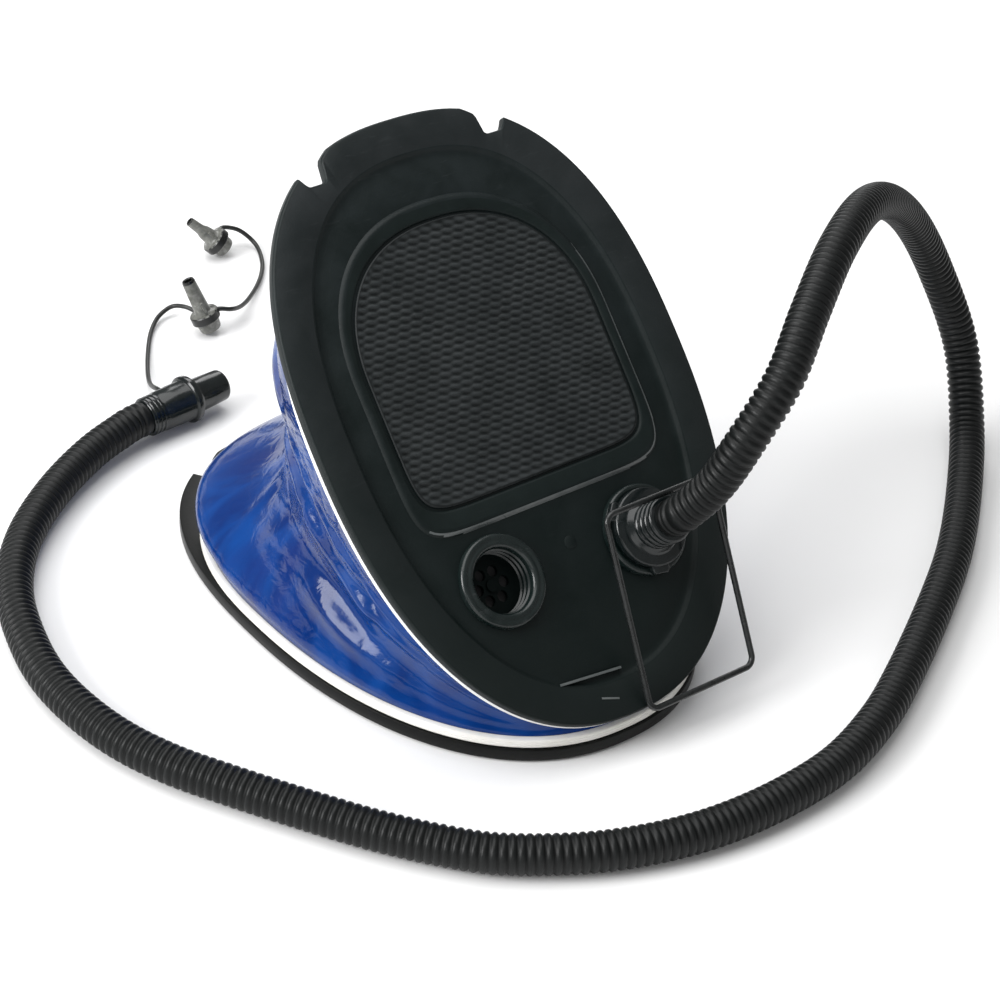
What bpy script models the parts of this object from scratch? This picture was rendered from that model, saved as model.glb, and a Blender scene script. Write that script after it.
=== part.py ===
import math

import bmesh
import bpy
import numpy as np
from mathutils import Vector

# All lengths are in millimetres until a mesh is made. X runs across the pump,
# +Y from the hinge to the lip, +Z up, and the floor is z = 0.
MM = 0.001
EDGE_STEP = 6.0  # degrees between points round the plates' edge
SHIFT_Y = -145.75  # puts the middle of the pump's length on the origin

# egg-shaped plates
HALF_WIDTH = 105.0
MID = 159.2  # distance from the hinge end to the widest place
NEAR = 159.2
FAR = 140.8
NEAR_POWER = 2.24
FAR_POWER = 2.5
NOTCH_CORNERS = (
    (59.6, 285.2),
    (57.0, 281.5),
    (55.5, 280.0),
    (47.0, 280.0),
    (45.5, 281.0),
    (44.5, 289.5),
    (38.0, 295.4),
)

# base
BASE_BOTTOM = 1.0
BASE_TOP = 7.5
BASE_FLOOR = 3.5
FOOT_SPOTS = ((-68.0, 95.0), (68.0, 95.0), (-58.0, 235.0), (58.0, 235.0))
FOOT_RADIUS = 7.0
FOOT_HEIGHT = 2.2
SCREW_ANGLES = (28.0, 152.0, 218.0, 322.0)

# treadle, the upper plate: its own frame has t along it from the hinge end
# and h out of its top face
TILT = math.radians(45.15)
TOP_START = (-4.5, 21.4)
PLATE_THICK = 5.5
FIELD_DROP = 2.0

# hinge
HINGE_Y = 14.5
HINGE_Z = 22.96
KNUCKLE_RADIUS = 3.4
PIN_RADIUS = 1.6

# bellows
SKIN_THICK = 1.2
SKIN_LOW = 12.8
SKIN_HIGH = -8.5
SKIN_FOLD = 0.11

# sockets and check valves
OUTLET = (42.2, 77.0)
INTAKE = (-41.2, 79.8)
SOCKET_BORE = 15.5

# spring
SPRING_REACH = 120.0
SPRING_RADIUS = 26.0
SPRING_WIRE = 1.6
SPRING_TURNS = 6.0

# hose
HOSE_RADIUS = 9.5
HOSE_START_H = 24.3
HOSE_ROUTE = (
    (50.0, 16.0, 118.0),
    (60.0, 8.0, 146.0),
    (80.0, 10.0, 170.0),
    (106.0, 25.0, 188.0),
    (144.0, 49.0, 199.0),
    (200.0, 83.0, 190.0),
    (262.0, 114.0, 150.0),
    (304.0, 124.0, 100.0),
    (322.0, 112.0, 52.0),
    (310.0, 88.0, 18.0),
    (280.0, 58.0, 9.6),
    (235.0, 20.0, 9.6),
    (202.0, -3.0, 9.6),
    (136.0, -43.0, 9.6),
    (103.0, -60.0, 9.6),
    (65.0, -73.0, 9.6),
    (30.0, -77.0, 9.6),
    (-5.0, -76.0, 9.6),
    (-33.0, -71.0, 9.6),
    (-60.0, -62.0, 9.6),
    (-82.0, -51.0, 9.6),
    (-107.0, -34.0, 9.6),
    (-124.0, -16.0, 9.6),
    (-141.0, 6.0, 9.6),
    (-156.0, 29.0, 9.6),
    (-180.0, 69.0, 9.6),
    (-193.0, 93.0, 9.6),
    (-203.0, 120.0, 9.6),
    (-208.0, 150.0, 9.6),
    (-208.0, 178.0, 9.6),
    (-202.0, 208.0, 9.6),
    (-189.0, 243.0, 9.6),
    (-166.0, 276.0, 9.7),
    (-132.0, 305.0, 10.2),
    (-96.0, 325.0, 11.6),
)
HOSE_END = (-58.5, 335.2, 13.3)
NOZZLE_DIRECTION = (0.993, 0.115, 0.0)

# what hangs on the nozzle
WIDE_SPOT = (27.0, 408.7, 11.05)
WIDE_DIRECTION = (-0.303, 0.277, 0.912)
NARROW_SPOT = (78.5, 477.2, 10.25)
NARROW_DIRECTION = (-0.668, 0.341, 0.661)
STRAP_RADIUS = 1.3

# wire ring
WIRE_RADIUS = 1.5
RING_LEFT = 5.6
RING_RIGHT = 69.4
RING_FOOT = (-2.0, 1.5)
RING_HEAD = (89.1, 28.3)
RING_CORNER = 5.0

BLACK_PLASTIC = ("black_plastic", (0.022, 0.027, 0.028), 0.0, 0.48)
PAD_PLASTIC = ("pad_plastic", (0.020, 0.024, 0.026), 0.0, 0.60)
BLACK_RUBBER = ("black_rubber", (0.018, 0.018, 0.019), 0.0, 0.80)
BLUE_VINYL = ("blue_vinyl", (0.010, 0.050, 0.420), 0.0, 0.28)
WHITE_VINYL = ("white_vinyl", (0.820, 0.820, 0.790), 0.0, 0.40)
GREY_PLASTIC = ("grey_plastic", (0.120, 0.120, 0.115), 0.0, 0.42)
STEEL = ("steel", (0.560, 0.570, 0.580), 1.0, 0.30)
BLACK_WIRE = ("black_wire", (0.012, 0.012, 0.013), 0.6, 0.35)


def clear_scene():
    for item in list(bpy.data.objects):
        bpy.data.objects.remove(item, do_unlink=True)
    for name in ("foot_air_pump", "cutters"):
        collection = bpy.data.collections.new(name)
        bpy.context.scene.collection.children.link(collection)


def material_for(look):
    name, colour, metallic, roughness = look
    found = bpy.data.materials.get(name)
    if found:
        return found
    made = bpy.data.materials.new(name)
    made.use_nodes = True
    shader = made.node_tree.nodes["Principled BSDF"]
    shader.inputs["Base Color"].default_value = (*colour, 1.0)
    shader.inputs["Metallic"].default_value = metallic
    shader.inputs["Roughness"].default_value = roughness
    return made


def add_object(name, points, faces, look, origin=(0.0, 0.0, 0.0)):
    """Makes one mesh object from points in millimetres, with its own origin."""
    middle = np.array(origin, float)
    points = (np.asarray(points, float) - middle) * MM
    mesh = bpy.data.meshes.new(name)
    mesh.from_pydata([tuple(p) for p in points], [], faces)
    body = bmesh.new()
    body.from_mesh(mesh)
    bmesh.ops.recalc_face_normals(body, faces=body.faces)
    body.to_mesh(mesh)
    body.free()
    made = bpy.data.objects.new(name, mesh)
    made.location = Vector(middle * MM) + Vector((0.0, SHIFT_Y * MM, 0.0))
    if look:
        mesh.materials.append(material_for(look))
        bpy.data.collections["foot_air_pump"].objects.link(made)
    else:
        made.hide_render = True
        made.display_type = "WIRE"
        bpy.data.collections["cutters"].objects.link(made)
    return made


def boolean(target, tool, operation="DIFFERENCE"):
    step = target.modifiers.new(operation.lower(), "BOOLEAN")
    step.operation = operation
    step.solver = "EXACT"
    step.object = tool


def bridge(first, second, count):
    """Quads between two loops of count points that start at first and second."""
    quads = []
    for k in range(count):
        following = (k + 1) % count
        quads.append((first + k, first + following, second + following, second + k))
    return quads


def capped(loops):
    """A closed body through loops of equal length, with a flat face at each end."""
    count = len(loops[0])
    points = np.vstack(loops)
    faces = [tuple(reversed(range(count)))]
    for k in range(len(loops) - 1):
        faces += bridge(k * count, (k + 1) * count, count)
    last = (len(loops) - 1) * count
    faces.append(tuple(range(last, last + count)))
    return points, faces


def hooped(loops):
    """A closed hoop through loops of equal length, the last joined to the first."""
    count = len(loops[0])
    points = np.vstack(loops)
    faces = []
    for k in range(len(loops)):
        faces += bridge(k * count, ((k + 1) % len(loops)) * count, count)
    return points, faces


def merged(parts):
    """Several separate shells in one cutter."""
    points, faces, start = [], [], 0
    for part_points, part_faces in parts:
        points.append(part_points)
        faces += [tuple(i + start for i in face) for face in part_faces]
        start += len(part_points)
    return np.vstack(points), faces


def egg_radius(angles, inset, far=None, far_power=FAR_POWER):
    """Distance from the middle of the egg to its edge, moved in by inset."""
    far = (FAR if far is None else far) - inset
    cosine, sine = np.abs(np.cos(angles)), np.sin(angles)
    ahead = sine > 0
    power = np.where(ahead, far_power, NEAR_POWER)
    reach = np.where(ahead, far, NEAR - inset)
    wide = (cosine / (HALF_WIDTH - inset)) ** power
    return (wide + (np.abs(sine) / reach) ** power) ** (-1.0 / power)


def notch_outline():
    """Angles and radii of a plate's edge, with its two notches, seen from its middle."""
    right = np.array(NOTCH_CORNERS)
    corners = np.vstack([right, (right * (-1.0, 1.0))[::-1]])
    corner_angles = np.arctan2(corners[:, 1] - MID, corners[:, 0])
    corner_radii = np.hypot(corners[:, 0], corners[:, 1] - MID)
    plain = np.radians(np.arange(-90.0, 270.0, EDGE_STEP))
    low, high = corner_angles[0], corner_angles[-1]
    inner_low, inner_high = corner_angles[6], corner_angles[7]
    outside = (plain < low - 0.02) | (plain > high + 0.02)
    between = (plain > inner_low + 0.02) & (plain < inner_high - 0.02)
    plain = plain[outside | between]
    angles = np.concatenate([plain, corner_angles])
    radii = np.concatenate([egg_radius(plain, 0.0), corner_radii])
    order = np.argsort(angles)
    return angles[order], radii[order]


def flat_loop(angles, radii, height):
    x = radii * np.cos(angles)
    t = MID + radii * np.sin(angles)
    return np.column_stack([x, t, np.full(len(angles), height)])


def on_plate(points):
    """Points given as x, t and h on the treadle, in the world."""
    points = np.asarray(points, float)
    x, t, h = points[:, 0], points[:, 1], points[:, 2]
    y = TOP_START[0] + t * math.cos(TILT) - h * math.sin(TILT)
    z = TOP_START[1] + t * math.sin(TILT) + h * math.cos(TILT)
    return np.column_stack([x, y, z])


def same(points):
    return np.asarray(points, float)


def axes_for(direction):
    along = Vector(direction).normalized()
    helper = Vector((0.0, 0.0, 1.0)) if abs(along.z) < 0.9 else Vector((1.0, 0.0, 0.0))
    side = helper.cross(along).normalized()
    return np.array([side, along.cross(side), along])


def circle(radius, height, centre=(0.0, 0.0), count=28):
    angles = np.linspace(0.0, 2.0 * math.pi, count, endpoint=False)
    x = centre[0] + radius * np.cos(angles)
    y = centre[1] + radius * np.sin(angles)
    return np.column_stack([x, y, np.full(count, height)])


def turned(profile, centre=(0.0, 0.0), count=28, place=same, solid=False):
    """A lathe shape from (radius, height) pairs about an upright axis at centre."""
    loops = [place(circle(radius, height, centre, count)) for radius, height in profile]
    return capped(loops) if solid else hooped(loops)


def turned_along(profile, start, direction, count=24, solid=False):
    """A lathe shape whose axis starts at start and runs along direction."""
    axes = axes_for(direction)

    def place(points):
        return np.array(start) + np.asarray(points) @ axes

    return turned(profile, count=count, place=place, solid=solid)


def block(low, high, place=same):
    (x0, y0, z0), (x1, y1, z1) = low, high
    base = [(x0, y0), (x1, y0), (x1, y1), (x0, y1)]
    loops = [place([(x, y, z) for x, y in base]) for z in (z0, z1)]
    return capped(loops)


def hinge_point():
    return (0.0, HINGE_Y, HINGE_Z)


def make_base():
    angles, radii = notch_outline()
    inner = egg_radius(angles, 8.6, far=118.0, far_power=2.4)
    loops = [
        flat_loop(angles, radii - 0.9, BASE_BOTTOM),
        flat_loop(angles, radii, BASE_BOTTOM + 0.9),
        flat_loop(angles, radii, BASE_TOP - 0.8),
        flat_loop(angles, radii - 0.8, BASE_TOP),
        flat_loop(angles, inner, BASE_TOP),
        flat_loop(angles, inner - 0.1, BASE_FLOOR),
    ]
    tray = add_object("base_tray", *capped(loops), BLACK_PLASTIC)
    wells = []
    for x, y in FOOT_SPOTS:
        wells.append(turned(((FOOT_RADIUS + 0.3, 0.0), (FOOT_RADIUS + 0.3, 2.5)), (x, y), 16, solid=True))
    boolean(tray, add_object("foot_wells", *merged(wells), None))
    holes = []
    for x, y in screw_spots():
        profile = ((3.1, 0.0), (3.1, 3.2), (1.5, 3.2), (1.5, 9.0))
        holes.append(turned(profile, (x, y), 16, solid=True))
    boolean(tray, add_object("screw_holes", *merged(holes), None))


def screw_spots():
    angles = np.radians(np.array(SCREW_ANGLES))
    radii = egg_radius(angles, 7.0, far=120.0, far_power=2.4)
    return np.column_stack([radii * np.cos(angles), MID + radii * np.sin(angles)])


def make_feet():
    names = ("foot_near_left", "foot_near_right", "foot_far_left", "foot_far_right")
    for name, (x, y) in zip(names, FOOT_SPOTS, strict=True):
        profile = (
            (FOOT_RADIUS - 0.7, 0.0),
            (FOOT_RADIUS, 0.7),
            (FOOT_RADIUS, FOOT_HEIGHT),
        )
        add_object(name, *turned(profile, (x, y), 20, solid=True), BLACK_RUBBER)


def edge_hoop(name, look, low, high, inset, width, place=same, soft=0.5):
    """A band that follows the plates' edge between two heights."""
    angles = np.radians(np.arange(-90.0, 270.0, EDGE_STEP))
    outer = egg_radius(angles, inset, far=120.0, far_power=2.4)
    inner = egg_radius(angles, inset + width, far=120.0, far_power=2.4)
    loops = [
        place(flat_loop(angles, outer - soft, low)),
        place(flat_loop(angles, outer, low + soft)),
        place(flat_loop(angles, outer, high - soft)),
        place(flat_loop(angles, outer - soft, high)),
        place(flat_loop(angles, inner, high)),
        place(flat_loop(angles, inner, low)),
    ]
    return add_object(name, *hooped(loops), look)


def make_edges():
    edge_hoop("lower_binding", WHITE_VINYL, 7.8, 12.5, 1.2, 3.2, soft=0.9)
    edge_hoop("upper_binding", WHITE_VINYL, -8.2, -5.8, 1.2, 3.2, on_plate, soft=0.8)
    lower = edge_hoop("lower_clamp_ring", BLACK_PLASTIC, 7.8, 12.0, 5.6, 2.8)
    edge_hoop("upper_clamp_ring", BLACK_PLASTIC, -9.6, -5.8, 5.6, 2.6, on_plate)
    holes = [turned(((1.5, 5.0), (1.5, 11.0)), spot, 12, solid=True) for spot in screw_spots()]
    boolean(lower, add_object("clamp_holes", *merged(holes), None))
    names = ("screw_right_far", "screw_left_far", "screw_left_near", "screw_right_near")
    for name, spot in zip(names, screw_spots(), strict=True):
        profile = ((2.8, 1.3), (2.8, 2.9), (1.2, 2.9), (1.2, 10.7))
        add_object(name, *turned(profile, spot, 12, solid=True), STEEL)


def make_treadle():
    angles, radii = notch_outline()
    ridge = egg_radius(angles, 17.0, far=140.0, far_power=2.4)
    loops = [
        flat_loop(angles, radii - 0.9, -PLATE_THICK),
        flat_loop(angles, radii, -PLATE_THICK + 0.9),
        flat_loop(angles, radii, -1.3),
        flat_loop(angles, radii - 0.4, -0.4),
        flat_loop(angles, radii - 1.4, 0.0),
        flat_loop(angles, ridge, 0.0),
        flat_loop(angles, ridge - 2.0, -FIELD_DROP),
    ]
    points, faces = capped([on_plate(loop) for loop in loops])
    plate = add_object("treadle", points, faces, BLACK_PLASTIC, hinge_point())
    outer = pad_loops(((9.5, -2.6), (9.0, -2.0), (7.4, -0.3)), near=115.8, far=249.5)
    border = outer + pad_loops(((3.4, -0.3), (2.6, -2.0), (2.4, -2.6)))
    boolean(plate, add_object("pad_border", *hooped(border), None), "UNION")
    wide = SOCKET_BORE + 1.8
    holes = []
    for spot in (INTAKE, OUTLET):
        holes.append(turned(((wide, -9.0), (wide, 3.0)), spot, 28, on_plate, True))
    boolean(plate, add_object("socket_holes", *merged(holes), None))


def pad_loops(profile, near=121.0, far=246.5):
    """Loops around the D-shaped grip area, each moved out from it by an amount."""
    wide = 64.5
    angles = np.radians(np.arange(-87.5, 272.5, 5.0))
    loops = []
    for out, height in profile:
        middle = 183.0
        top = far + out - middle
        low = middle - near + out
        cosine, sine = np.abs(np.cos(angles)), np.sin(angles)
        power = np.where(sine > 0, 2.3, 9.0)
        reach = np.where(sine > 0, top, low)
        radii = ((cosine / (wide + out)) ** power + (np.abs(sine) / reach) ** power) ** (-1.0 / power)
        x = radii * np.cos(angles)
        t = middle + radii * np.sin(angles)
        loops.append(on_plate(np.column_stack([x, t, np.full(len(angles), height)])))
    return loops


def make_pad():
    loops = pad_loops(((1.2, -1.7), (1.6, -1.3), (1.6, -1.0), (0.9, -0.3)))
    add_object("tread_pad", *capped(loops), PAD_PLASTIC, hinge_point())


def plate_turned(name, profile, spot, look, origin=None, count=28, solid=False):
    points, faces = turned(profile, spot, count, on_plate, solid)
    return add_object(name, points, faces, look, origin or hinge_point())


def make_sockets():
    profile = (
        (12.2, -16.0),
        (17.0, -16.0),
        (17.0, -1.7),
        (22.3, -1.7),
        (22.3, 1.2),
        (21.3, 2.4),
        (17.2, 2.4),
        (15.5, 1.2),
        (15.5, -13.0),
        (12.2, -13.0),
    )
    plate_turned("intake_socket", profile, INTAKE, BLACK_PLASTIC)
    plate_turned("outlet_socket", profile, OUTLET, BLACK_PLASTIC)


def disc_origin(spot, height):
    return tuple(on_plate([(*spot, height)])[0])


def make_valve(kind, spot, disc_low, pin_profile):
    seat = plate_turned(f"{kind}_seat", ((15.2, -12.7), (15.2, -10.7)), spot, GREY_PLASTIC, solid=True)
    bores = [turned(((1.65, -14.0), (1.65, -9.0)), spot, 12, on_plate, True)]
    for k in range(6):
        angle = math.radians(60.0 * k)
        hole = (spot[0] + 7.2 * math.cos(angle), spot[1] + 7.2 * math.sin(angle))
        bores.append(turned(((2.8, -14.0), (2.8, -9.0)), hole, 10, on_plate, True))
    boolean(seat, add_object(f"{kind}_seat_bores", *merged(bores), None))
    disc = ((1.9, disc_low), (11.5, disc_low), (11.5, disc_low + 1.2), (1.9, disc_low + 1.2))
    plate_turned(f"{kind}_disc", disc, spot, BLACK_RUBBER, disc_origin(spot, disc_low))
    plate_turned(f"{kind}_pin", pin_profile, spot, GREY_PLASTIC, count=14, solid=True)


def make_valves():
    outlet_pin = ((3.0, -14.4), (3.0, -13.2), (1.4, -13.2), (1.4, -6.8), (3.4, -6.8), (3.4, -5.7))
    intake_pin = ((3.4, -17.2), (3.4, -16.1), (1.4, -16.1), (1.4, -10.4), (3.0, -10.4), (3.0, -9.4))
    make_valve("outlet", OUTLET, -10.4, outlet_pin)
    make_valve("intake", INTAKE, -15.8, intake_pin)


def lug(x0, x1, place, reach):
    """A knuckle round the pin with a web that runs down by reach."""
    angles = np.radians(np.linspace(0.0, 180.0, 9))
    outline = [(KNUCKLE_RADIUS * math.cos(a), KNUCKLE_RADIUS * math.sin(a)) for a in angles]
    outline += [(-KNUCKLE_RADIUS, -reach), (KNUCKLE_RADIUS, -reach)]
    return capped([place([(x, u, w) for u, w in outline]) for x in (x0, x1)])


def make_hinge():
    def from_base(points):
        return np.array([(x, HINGE_Y + u, HINGE_Z + w) for x, u, w in points])

    def from_plate(points):
        shifted = [(x, HINGE_Y - u, PIN_H - w) for x, u, w in points]
        return on_plate(shifted)

    bore = [turned_along(((1.65, -30.0), (1.65, 30.0)), hinge_point(), (1.0, 0.0, 0.0), 16, True)]
    bore = add_object("pin_bore", *merged(bore), None)

    slab = block((-22.0, 13.6, 3.8), (22.0, 30.0, 6.0))
    lower = add_object("lower_hinge_leaf", *slab, STEEL)
    lugs = [lug(x0, x1, from_base, HINGE_Z - 5.0) for x0, x1 in ((-18.0, -12.6), (-2.7, 2.7), (12.6, 18.0))]
    boolean(lower, add_object("lower_lugs", *merged(lugs), None), "UNION")
    boolean(lower, bore)

    slab = block((-22.0, 19.6, -8.3), (22.0, 38.0, -5.8), on_plate)
    upper = add_object("upper_hinge_leaf", *slab, STEEL, hinge_point())
    rise = -PIN_H - 6.2
    lugs = [lug(x0, x1, from_plate, rise) for x0, x1 in ((-12.2, -3.1), (3.1, 12.2))]
    lugs += [block((x0, HINGE_Y, -8.2), (x1, 22.0, -6.0), on_plate) for x0, x1 in ((-12.0, -3.3), (3.3, 12.0))]
    for k, tool in enumerate(lugs):
        boolean(upper, add_object(f"upper_lug_{k}", *tool, None), "UNION")
    boolean(upper, bore)

    pin = ((PIN_RADIUS, -18.6), (PIN_RADIUS, 18.6))
    points, faces = turned_along(pin, hinge_point(), (1.0, 0.0, 0.0), 16, True)
    add_object("hinge_pin", points, faces, STEEL, hinge_point())


PIN_H = -(HINGE_Y - TOP_START[0]) * math.sin(TILT) + (HINGE_Z - TOP_START[1]) * math.cos(TILT)


def swept(reach, level, turn):
    """A point at a distance and level from the hinge, turned about it."""
    y = HINGE_Y + reach * math.cos(turn) - level * math.sin(turn)
    z = HINGE_Z + reach * math.sin(turn) + level * math.cos(turn)
    return y, z


def make_bellows():
    angles = np.radians(np.arange(-90.0, 270.0, EDGE_STEP))
    steps = 7
    high = SKIN_HIGH - PIN_H
    low = SKIN_LOW - HINGE_Z

    def layer(share, inset):
        radii = egg_radius(angles, inset, far=120.0, far_power=2.4)
        turn = share * TILT
        level = low + (high - low) * share
        points = []
        for angle, radius in zip(angles, radii, strict=True):
            reach = MID + radius * math.sin(angle) - HINGE_Y
            gap = max(reach, 0.0) * TILT
            fold = SKIN_FOLD * gap * math.sin(math.pi * share) ** 2
            pulled = radius - fold
            reach = MID + pulled * math.sin(angle) - HINGE_Y
            y, z = swept(reach, level, turn)
            points.append((pulled * math.cos(angle), y, z))
        return np.array(points)

    shares = np.linspace(0.0, 1.0, steps)
    outside = [layer(share, 4.0) for share in shares]
    inside = [layer(share, 4.0 + SKIN_THICK) for share in shares[::-1]]
    add_object("bellows", *hooped(outside + inside), BLUE_VINYL)


def tube(name, points, radius, look, resolution=3):
    curve = bpy.data.curves.new(name, "CURVE")
    curve.dimensions = "3D"
    curve.bevel_depth = radius * MM
    curve.bevel_resolution = resolution
    curve.use_fill_caps = True
    spline = curve.splines.new("POLY")
    spline.points.add(len(points) - 1)
    for slot, (x, y, z) in zip(spline.points, points, strict=True):
        slot.co = (x * MM, (y + SHIFT_Y) * MM, z * MM, 1.0)
    made = bpy.data.objects.new(name, curve)
    curve.materials.append(material_for(look))
    bpy.data.collections["foot_air_pump"].objects.link(made)
    return made


def smooth_route(route, spacing):
    """Evenly spaced points on a smooth curve through the route's points."""
    route = np.array(route, float)
    padded = np.vstack([2.0 * route[0] - route[1], route, 2.0 * route[-1] - route[-2]])
    dense = []
    for k in range(1, len(padded) - 2):
        before, start, end, after = padded[k - 1 : k + 3]
        knots = [0.0]
        for a, b in ((before, start), (start, end), (end, after)):
            knots.append(knots[-1] + max(np.linalg.norm(b - a), 1e-6) ** 0.5)
        share = np.linspace(knots[1], knots[2], 24, endpoint=False)[:, None]
        one = blend_pair(before, start, knots[0], knots[1], share)
        two = blend_pair(start, end, knots[1], knots[2], share)
        three = blend_pair(end, after, knots[2], knots[3], share)
        four = blend_pair(one, two, knots[0], knots[2], share)
        five = blend_pair(two, three, knots[1], knots[3], share)
        dense.append(blend_pair(four, five, knots[1], knots[2], share))
    dense = np.vstack(dense + [route[-1:]])
    steps = np.linalg.norm(np.diff(dense, axis=0), axis=1)
    travelled = np.concatenate([[0.0], np.cumsum(steps)])
    count = max(int(round(travelled[-1] / spacing)), 2) + 1
    wanted = np.linspace(0.0, travelled[-1], count)
    return np.column_stack([np.interp(wanted, travelled, dense[:, k]) for k in range(3)])


def blend_pair(first, second, low, high, share):
    return (high - share) / (high - low) * first + (share - low) / (high - low) * second


def spring_points():
    """The spring's wire: a coil whose middle line turns about the hinge."""
    low = BASE_FLOOR + 0.3 + 2.2 + SPRING_WIRE + 0.3 - HINGE_Z
    high = -PLATE_THICK - 0.3 - 2.2 - SPRING_WIRE - 0.3 - PIN_H
    first = 0.0
    last = TILT
    points = []
    total = int(SPRING_TURNS * 12)
    for k in range(total + 1):
        share = k / total
        coil = share * SPRING_TURNS * 2.0 * math.pi
        rise = min(max((share - 0.09) / 0.82, 0.0), 1.0)
        turn = first + (last - first) * rise
        level = low + (high - low) * rise
        across = SPRING_RADIUS * math.cos(coil)
        along = SPRING_REACH + SPRING_RADIUS * math.sin(coil)
        y, z = swept(along, level, turn)
        points.append((across, y, z))
    return points


def make_spring():
    tube("spring", spring_points(), SPRING_WIRE, STEEL, 1)
    seat = ((30.5, 0.0), (30.5, 6.0), (29.3, 6.0), (29.3, 2.2), (22.0, 2.2), (22.0, 0.0))
    centre = (0.0, HINGE_Y + SPRING_REACH)
    profile = [(radius, BASE_FLOOR + 0.3 + height) for radius, height in seat]
    add_object("lower_spring_seat", *turned(profile, centre), BLACK_PLASTIC)
    profile = [(radius, -PLATE_THICK - 0.3 - height) for radius, height in seat]
    points, faces = turned(profile, centre, 48, on_plate)
    add_object("upper_spring_seat", points, faces, BLACK_PLASTIC, hinge_point())


def make_cuff():
    profile = (
        (7.2, -5.0),
        (15.1, -5.0),
        (15.1, 2.8),
        (19.4, 2.8),
        (19.4, 6.6),
        (18.6, 7.4),
        (13.2, 7.4),
        (11.6, 9.4),
        (11.4, 23.2),
        (10.6, 24.0),
        (7.2, 24.0),
    )
    cuff = plate_turned("hose_cuff", profile, OUTLET, BLACK_PLASTIC)
    for k, angle in enumerate((20.0, 140.0, 260.0)):
        turn = math.radians(angle)
        u, w = math.cos(turn), math.sin(turn)
        corners = ((17.0, -5.0), (22.6, -4.0), (22.6, 4.0), (17.0, 5.0))
        ring = [(OUTLET[0] + r * u - s * w, OUTLET[1] + r * w + s * u) for r, s in corners]
        loops = [on_plate([(x, t, h) for x, t in ring]) for h in (2.9, 6.2)]
        boolean(cuff, add_object(f"cuff_lug_{k}", *capped(loops), None), "UNION")


def hose_points():
    """The hose's middle line, straight where it leaves the cuff and meets the nozzle."""
    start = on_plate([(*OUTLET, HOSE_START_H)])[0]
    out = on_plate([(*OUTLET, HOSE_START_H + 9.0)])[0]
    end = np.array(HOSE_END)
    back = np.array(NOZZLE_DIRECTION)
    back = end - 9.0 * back / np.linalg.norm(back)
    return np.vstack([start, smooth_route((out, *HOSE_ROUTE, back), 20.0), end])


def make_hose():
    tube("hose", hose_points(), HOSE_RADIUS, BLACK_RUBBER, 2)
    profile = (
        (6.0, 0.3),
        (10.4, 0.3),
        (11.2, 1.2),
        (11.2, 27.0),
        (13.1, 28.0),
        (13.1, 31.4),
        (10.2, 32.6),
        (9.4, 34.0),
        (8.7, 52.0),
        (8.0, 53.0),
        (6.0, 53.0),
    )
    add_object("nozzle", *turned_along(profile, HOSE_END, NOZZLE_DIRECTION), BLACK_PLASTIC)


def make_adapters():
    wide = (
        (2.1, -9.0),
        (6.6, -9.0),
        (7.0, -8.2),
        (7.3, -2.0),
        (8.3, -1.4),
        (8.3, 1.4),
        (5.4, 2.0),
        (4.9, 8.0),
        (4.3, 24.0),
        (3.8, 25.5),
        (2.1, 25.5),
    )
    narrow = (
        (1.6, -8.0),
        (6.4, -8.0),
        (7.0, -7.0),
        (7.3, -1.8),
        (8.3, -1.3),
        (8.3, 1.3),
        (6.0, 2.2),
        (4.6, 6.0),
        (4.2, 10.0),
        (2.8, 12.0),
        (2.5, 21.0),
        (1.6, 21.0),
    )
    add_object("adapter_wide", *turned_along(wide, WIDE_SPOT, WIDE_DIRECTION, 16), GREY_PLASTIC)
    add_object("adapter_narrow", *turned_along(narrow, NARROW_SPOT, NARROW_DIRECTION, 16), GREY_PLASTIC)


def strap_long_route():
    return (
        (-36.0, 349.5, 13.3),
        (-36.6, 356.0, 12.4),
        (-31.0, 374.0, 5.0),
        (-15.0, 402.0, 1.9),
        (1.9, 424.8, 1.9),
        (12.2, 432.9, 3.6),
        (20.5, 433.3, 6.4),
        (24.7, 426.1, 8.6),
        (27.6, 417.7, 8.5),
    )


def strap_short_route():
    return (
        (35.2, 405.8, 14.6),
        (40.7, 404.0, 13.5),
        (52.3, 410.3, 8.5),
        (72.8, 427.8, 3.0),
        (87.4, 442.4, 1.8),
        (96.8, 455.5, 1.8),
        (102.6, 470.7, 3.4),
        (100.2, 476.9, 7.5),
        (94.1, 479.5, 12.5),
        (85.4, 481.6, 14.9),
    )


def make_straps():
    tube("strap_long", smooth_route(strap_long_route(), 7.0), STRAP_RADIUS, GREY_PLASTIC, 1)
    tube("strap_short", smooth_route(strap_short_route(), 7.0), STRAP_RADIUS, GREY_PLASTIC, 1)


def ring_points():
    """The wire ring's middle line, with rounded corners, on the treadle."""
    foot, head = np.array(RING_FOOT), np.array(RING_HEAD)
    long_side = np.linalg.norm(head - foot)
    slope = (head - foot) / long_side
    corners = (
        (RING_LEFT + RING_CORNER, RING_CORNER, 180.0),
        (RING_RIGHT - RING_CORNER, RING_CORNER, 270.0),
        (RING_RIGHT - RING_CORNER, long_side - RING_CORNER, 0.0),
        (RING_LEFT + RING_CORNER, long_side - RING_CORNER, 90.0),
    )
    points = []
    for x, reach, start in corners:
        for k in range(5):
            angle = math.radians(start + 22.5 * k)
            along = reach + RING_CORNER * math.sin(angle)
            t, h = foot + slope * along
            points.append((x + RING_CORNER * math.cos(angle), t, h))
    return on_plate(points)


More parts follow.
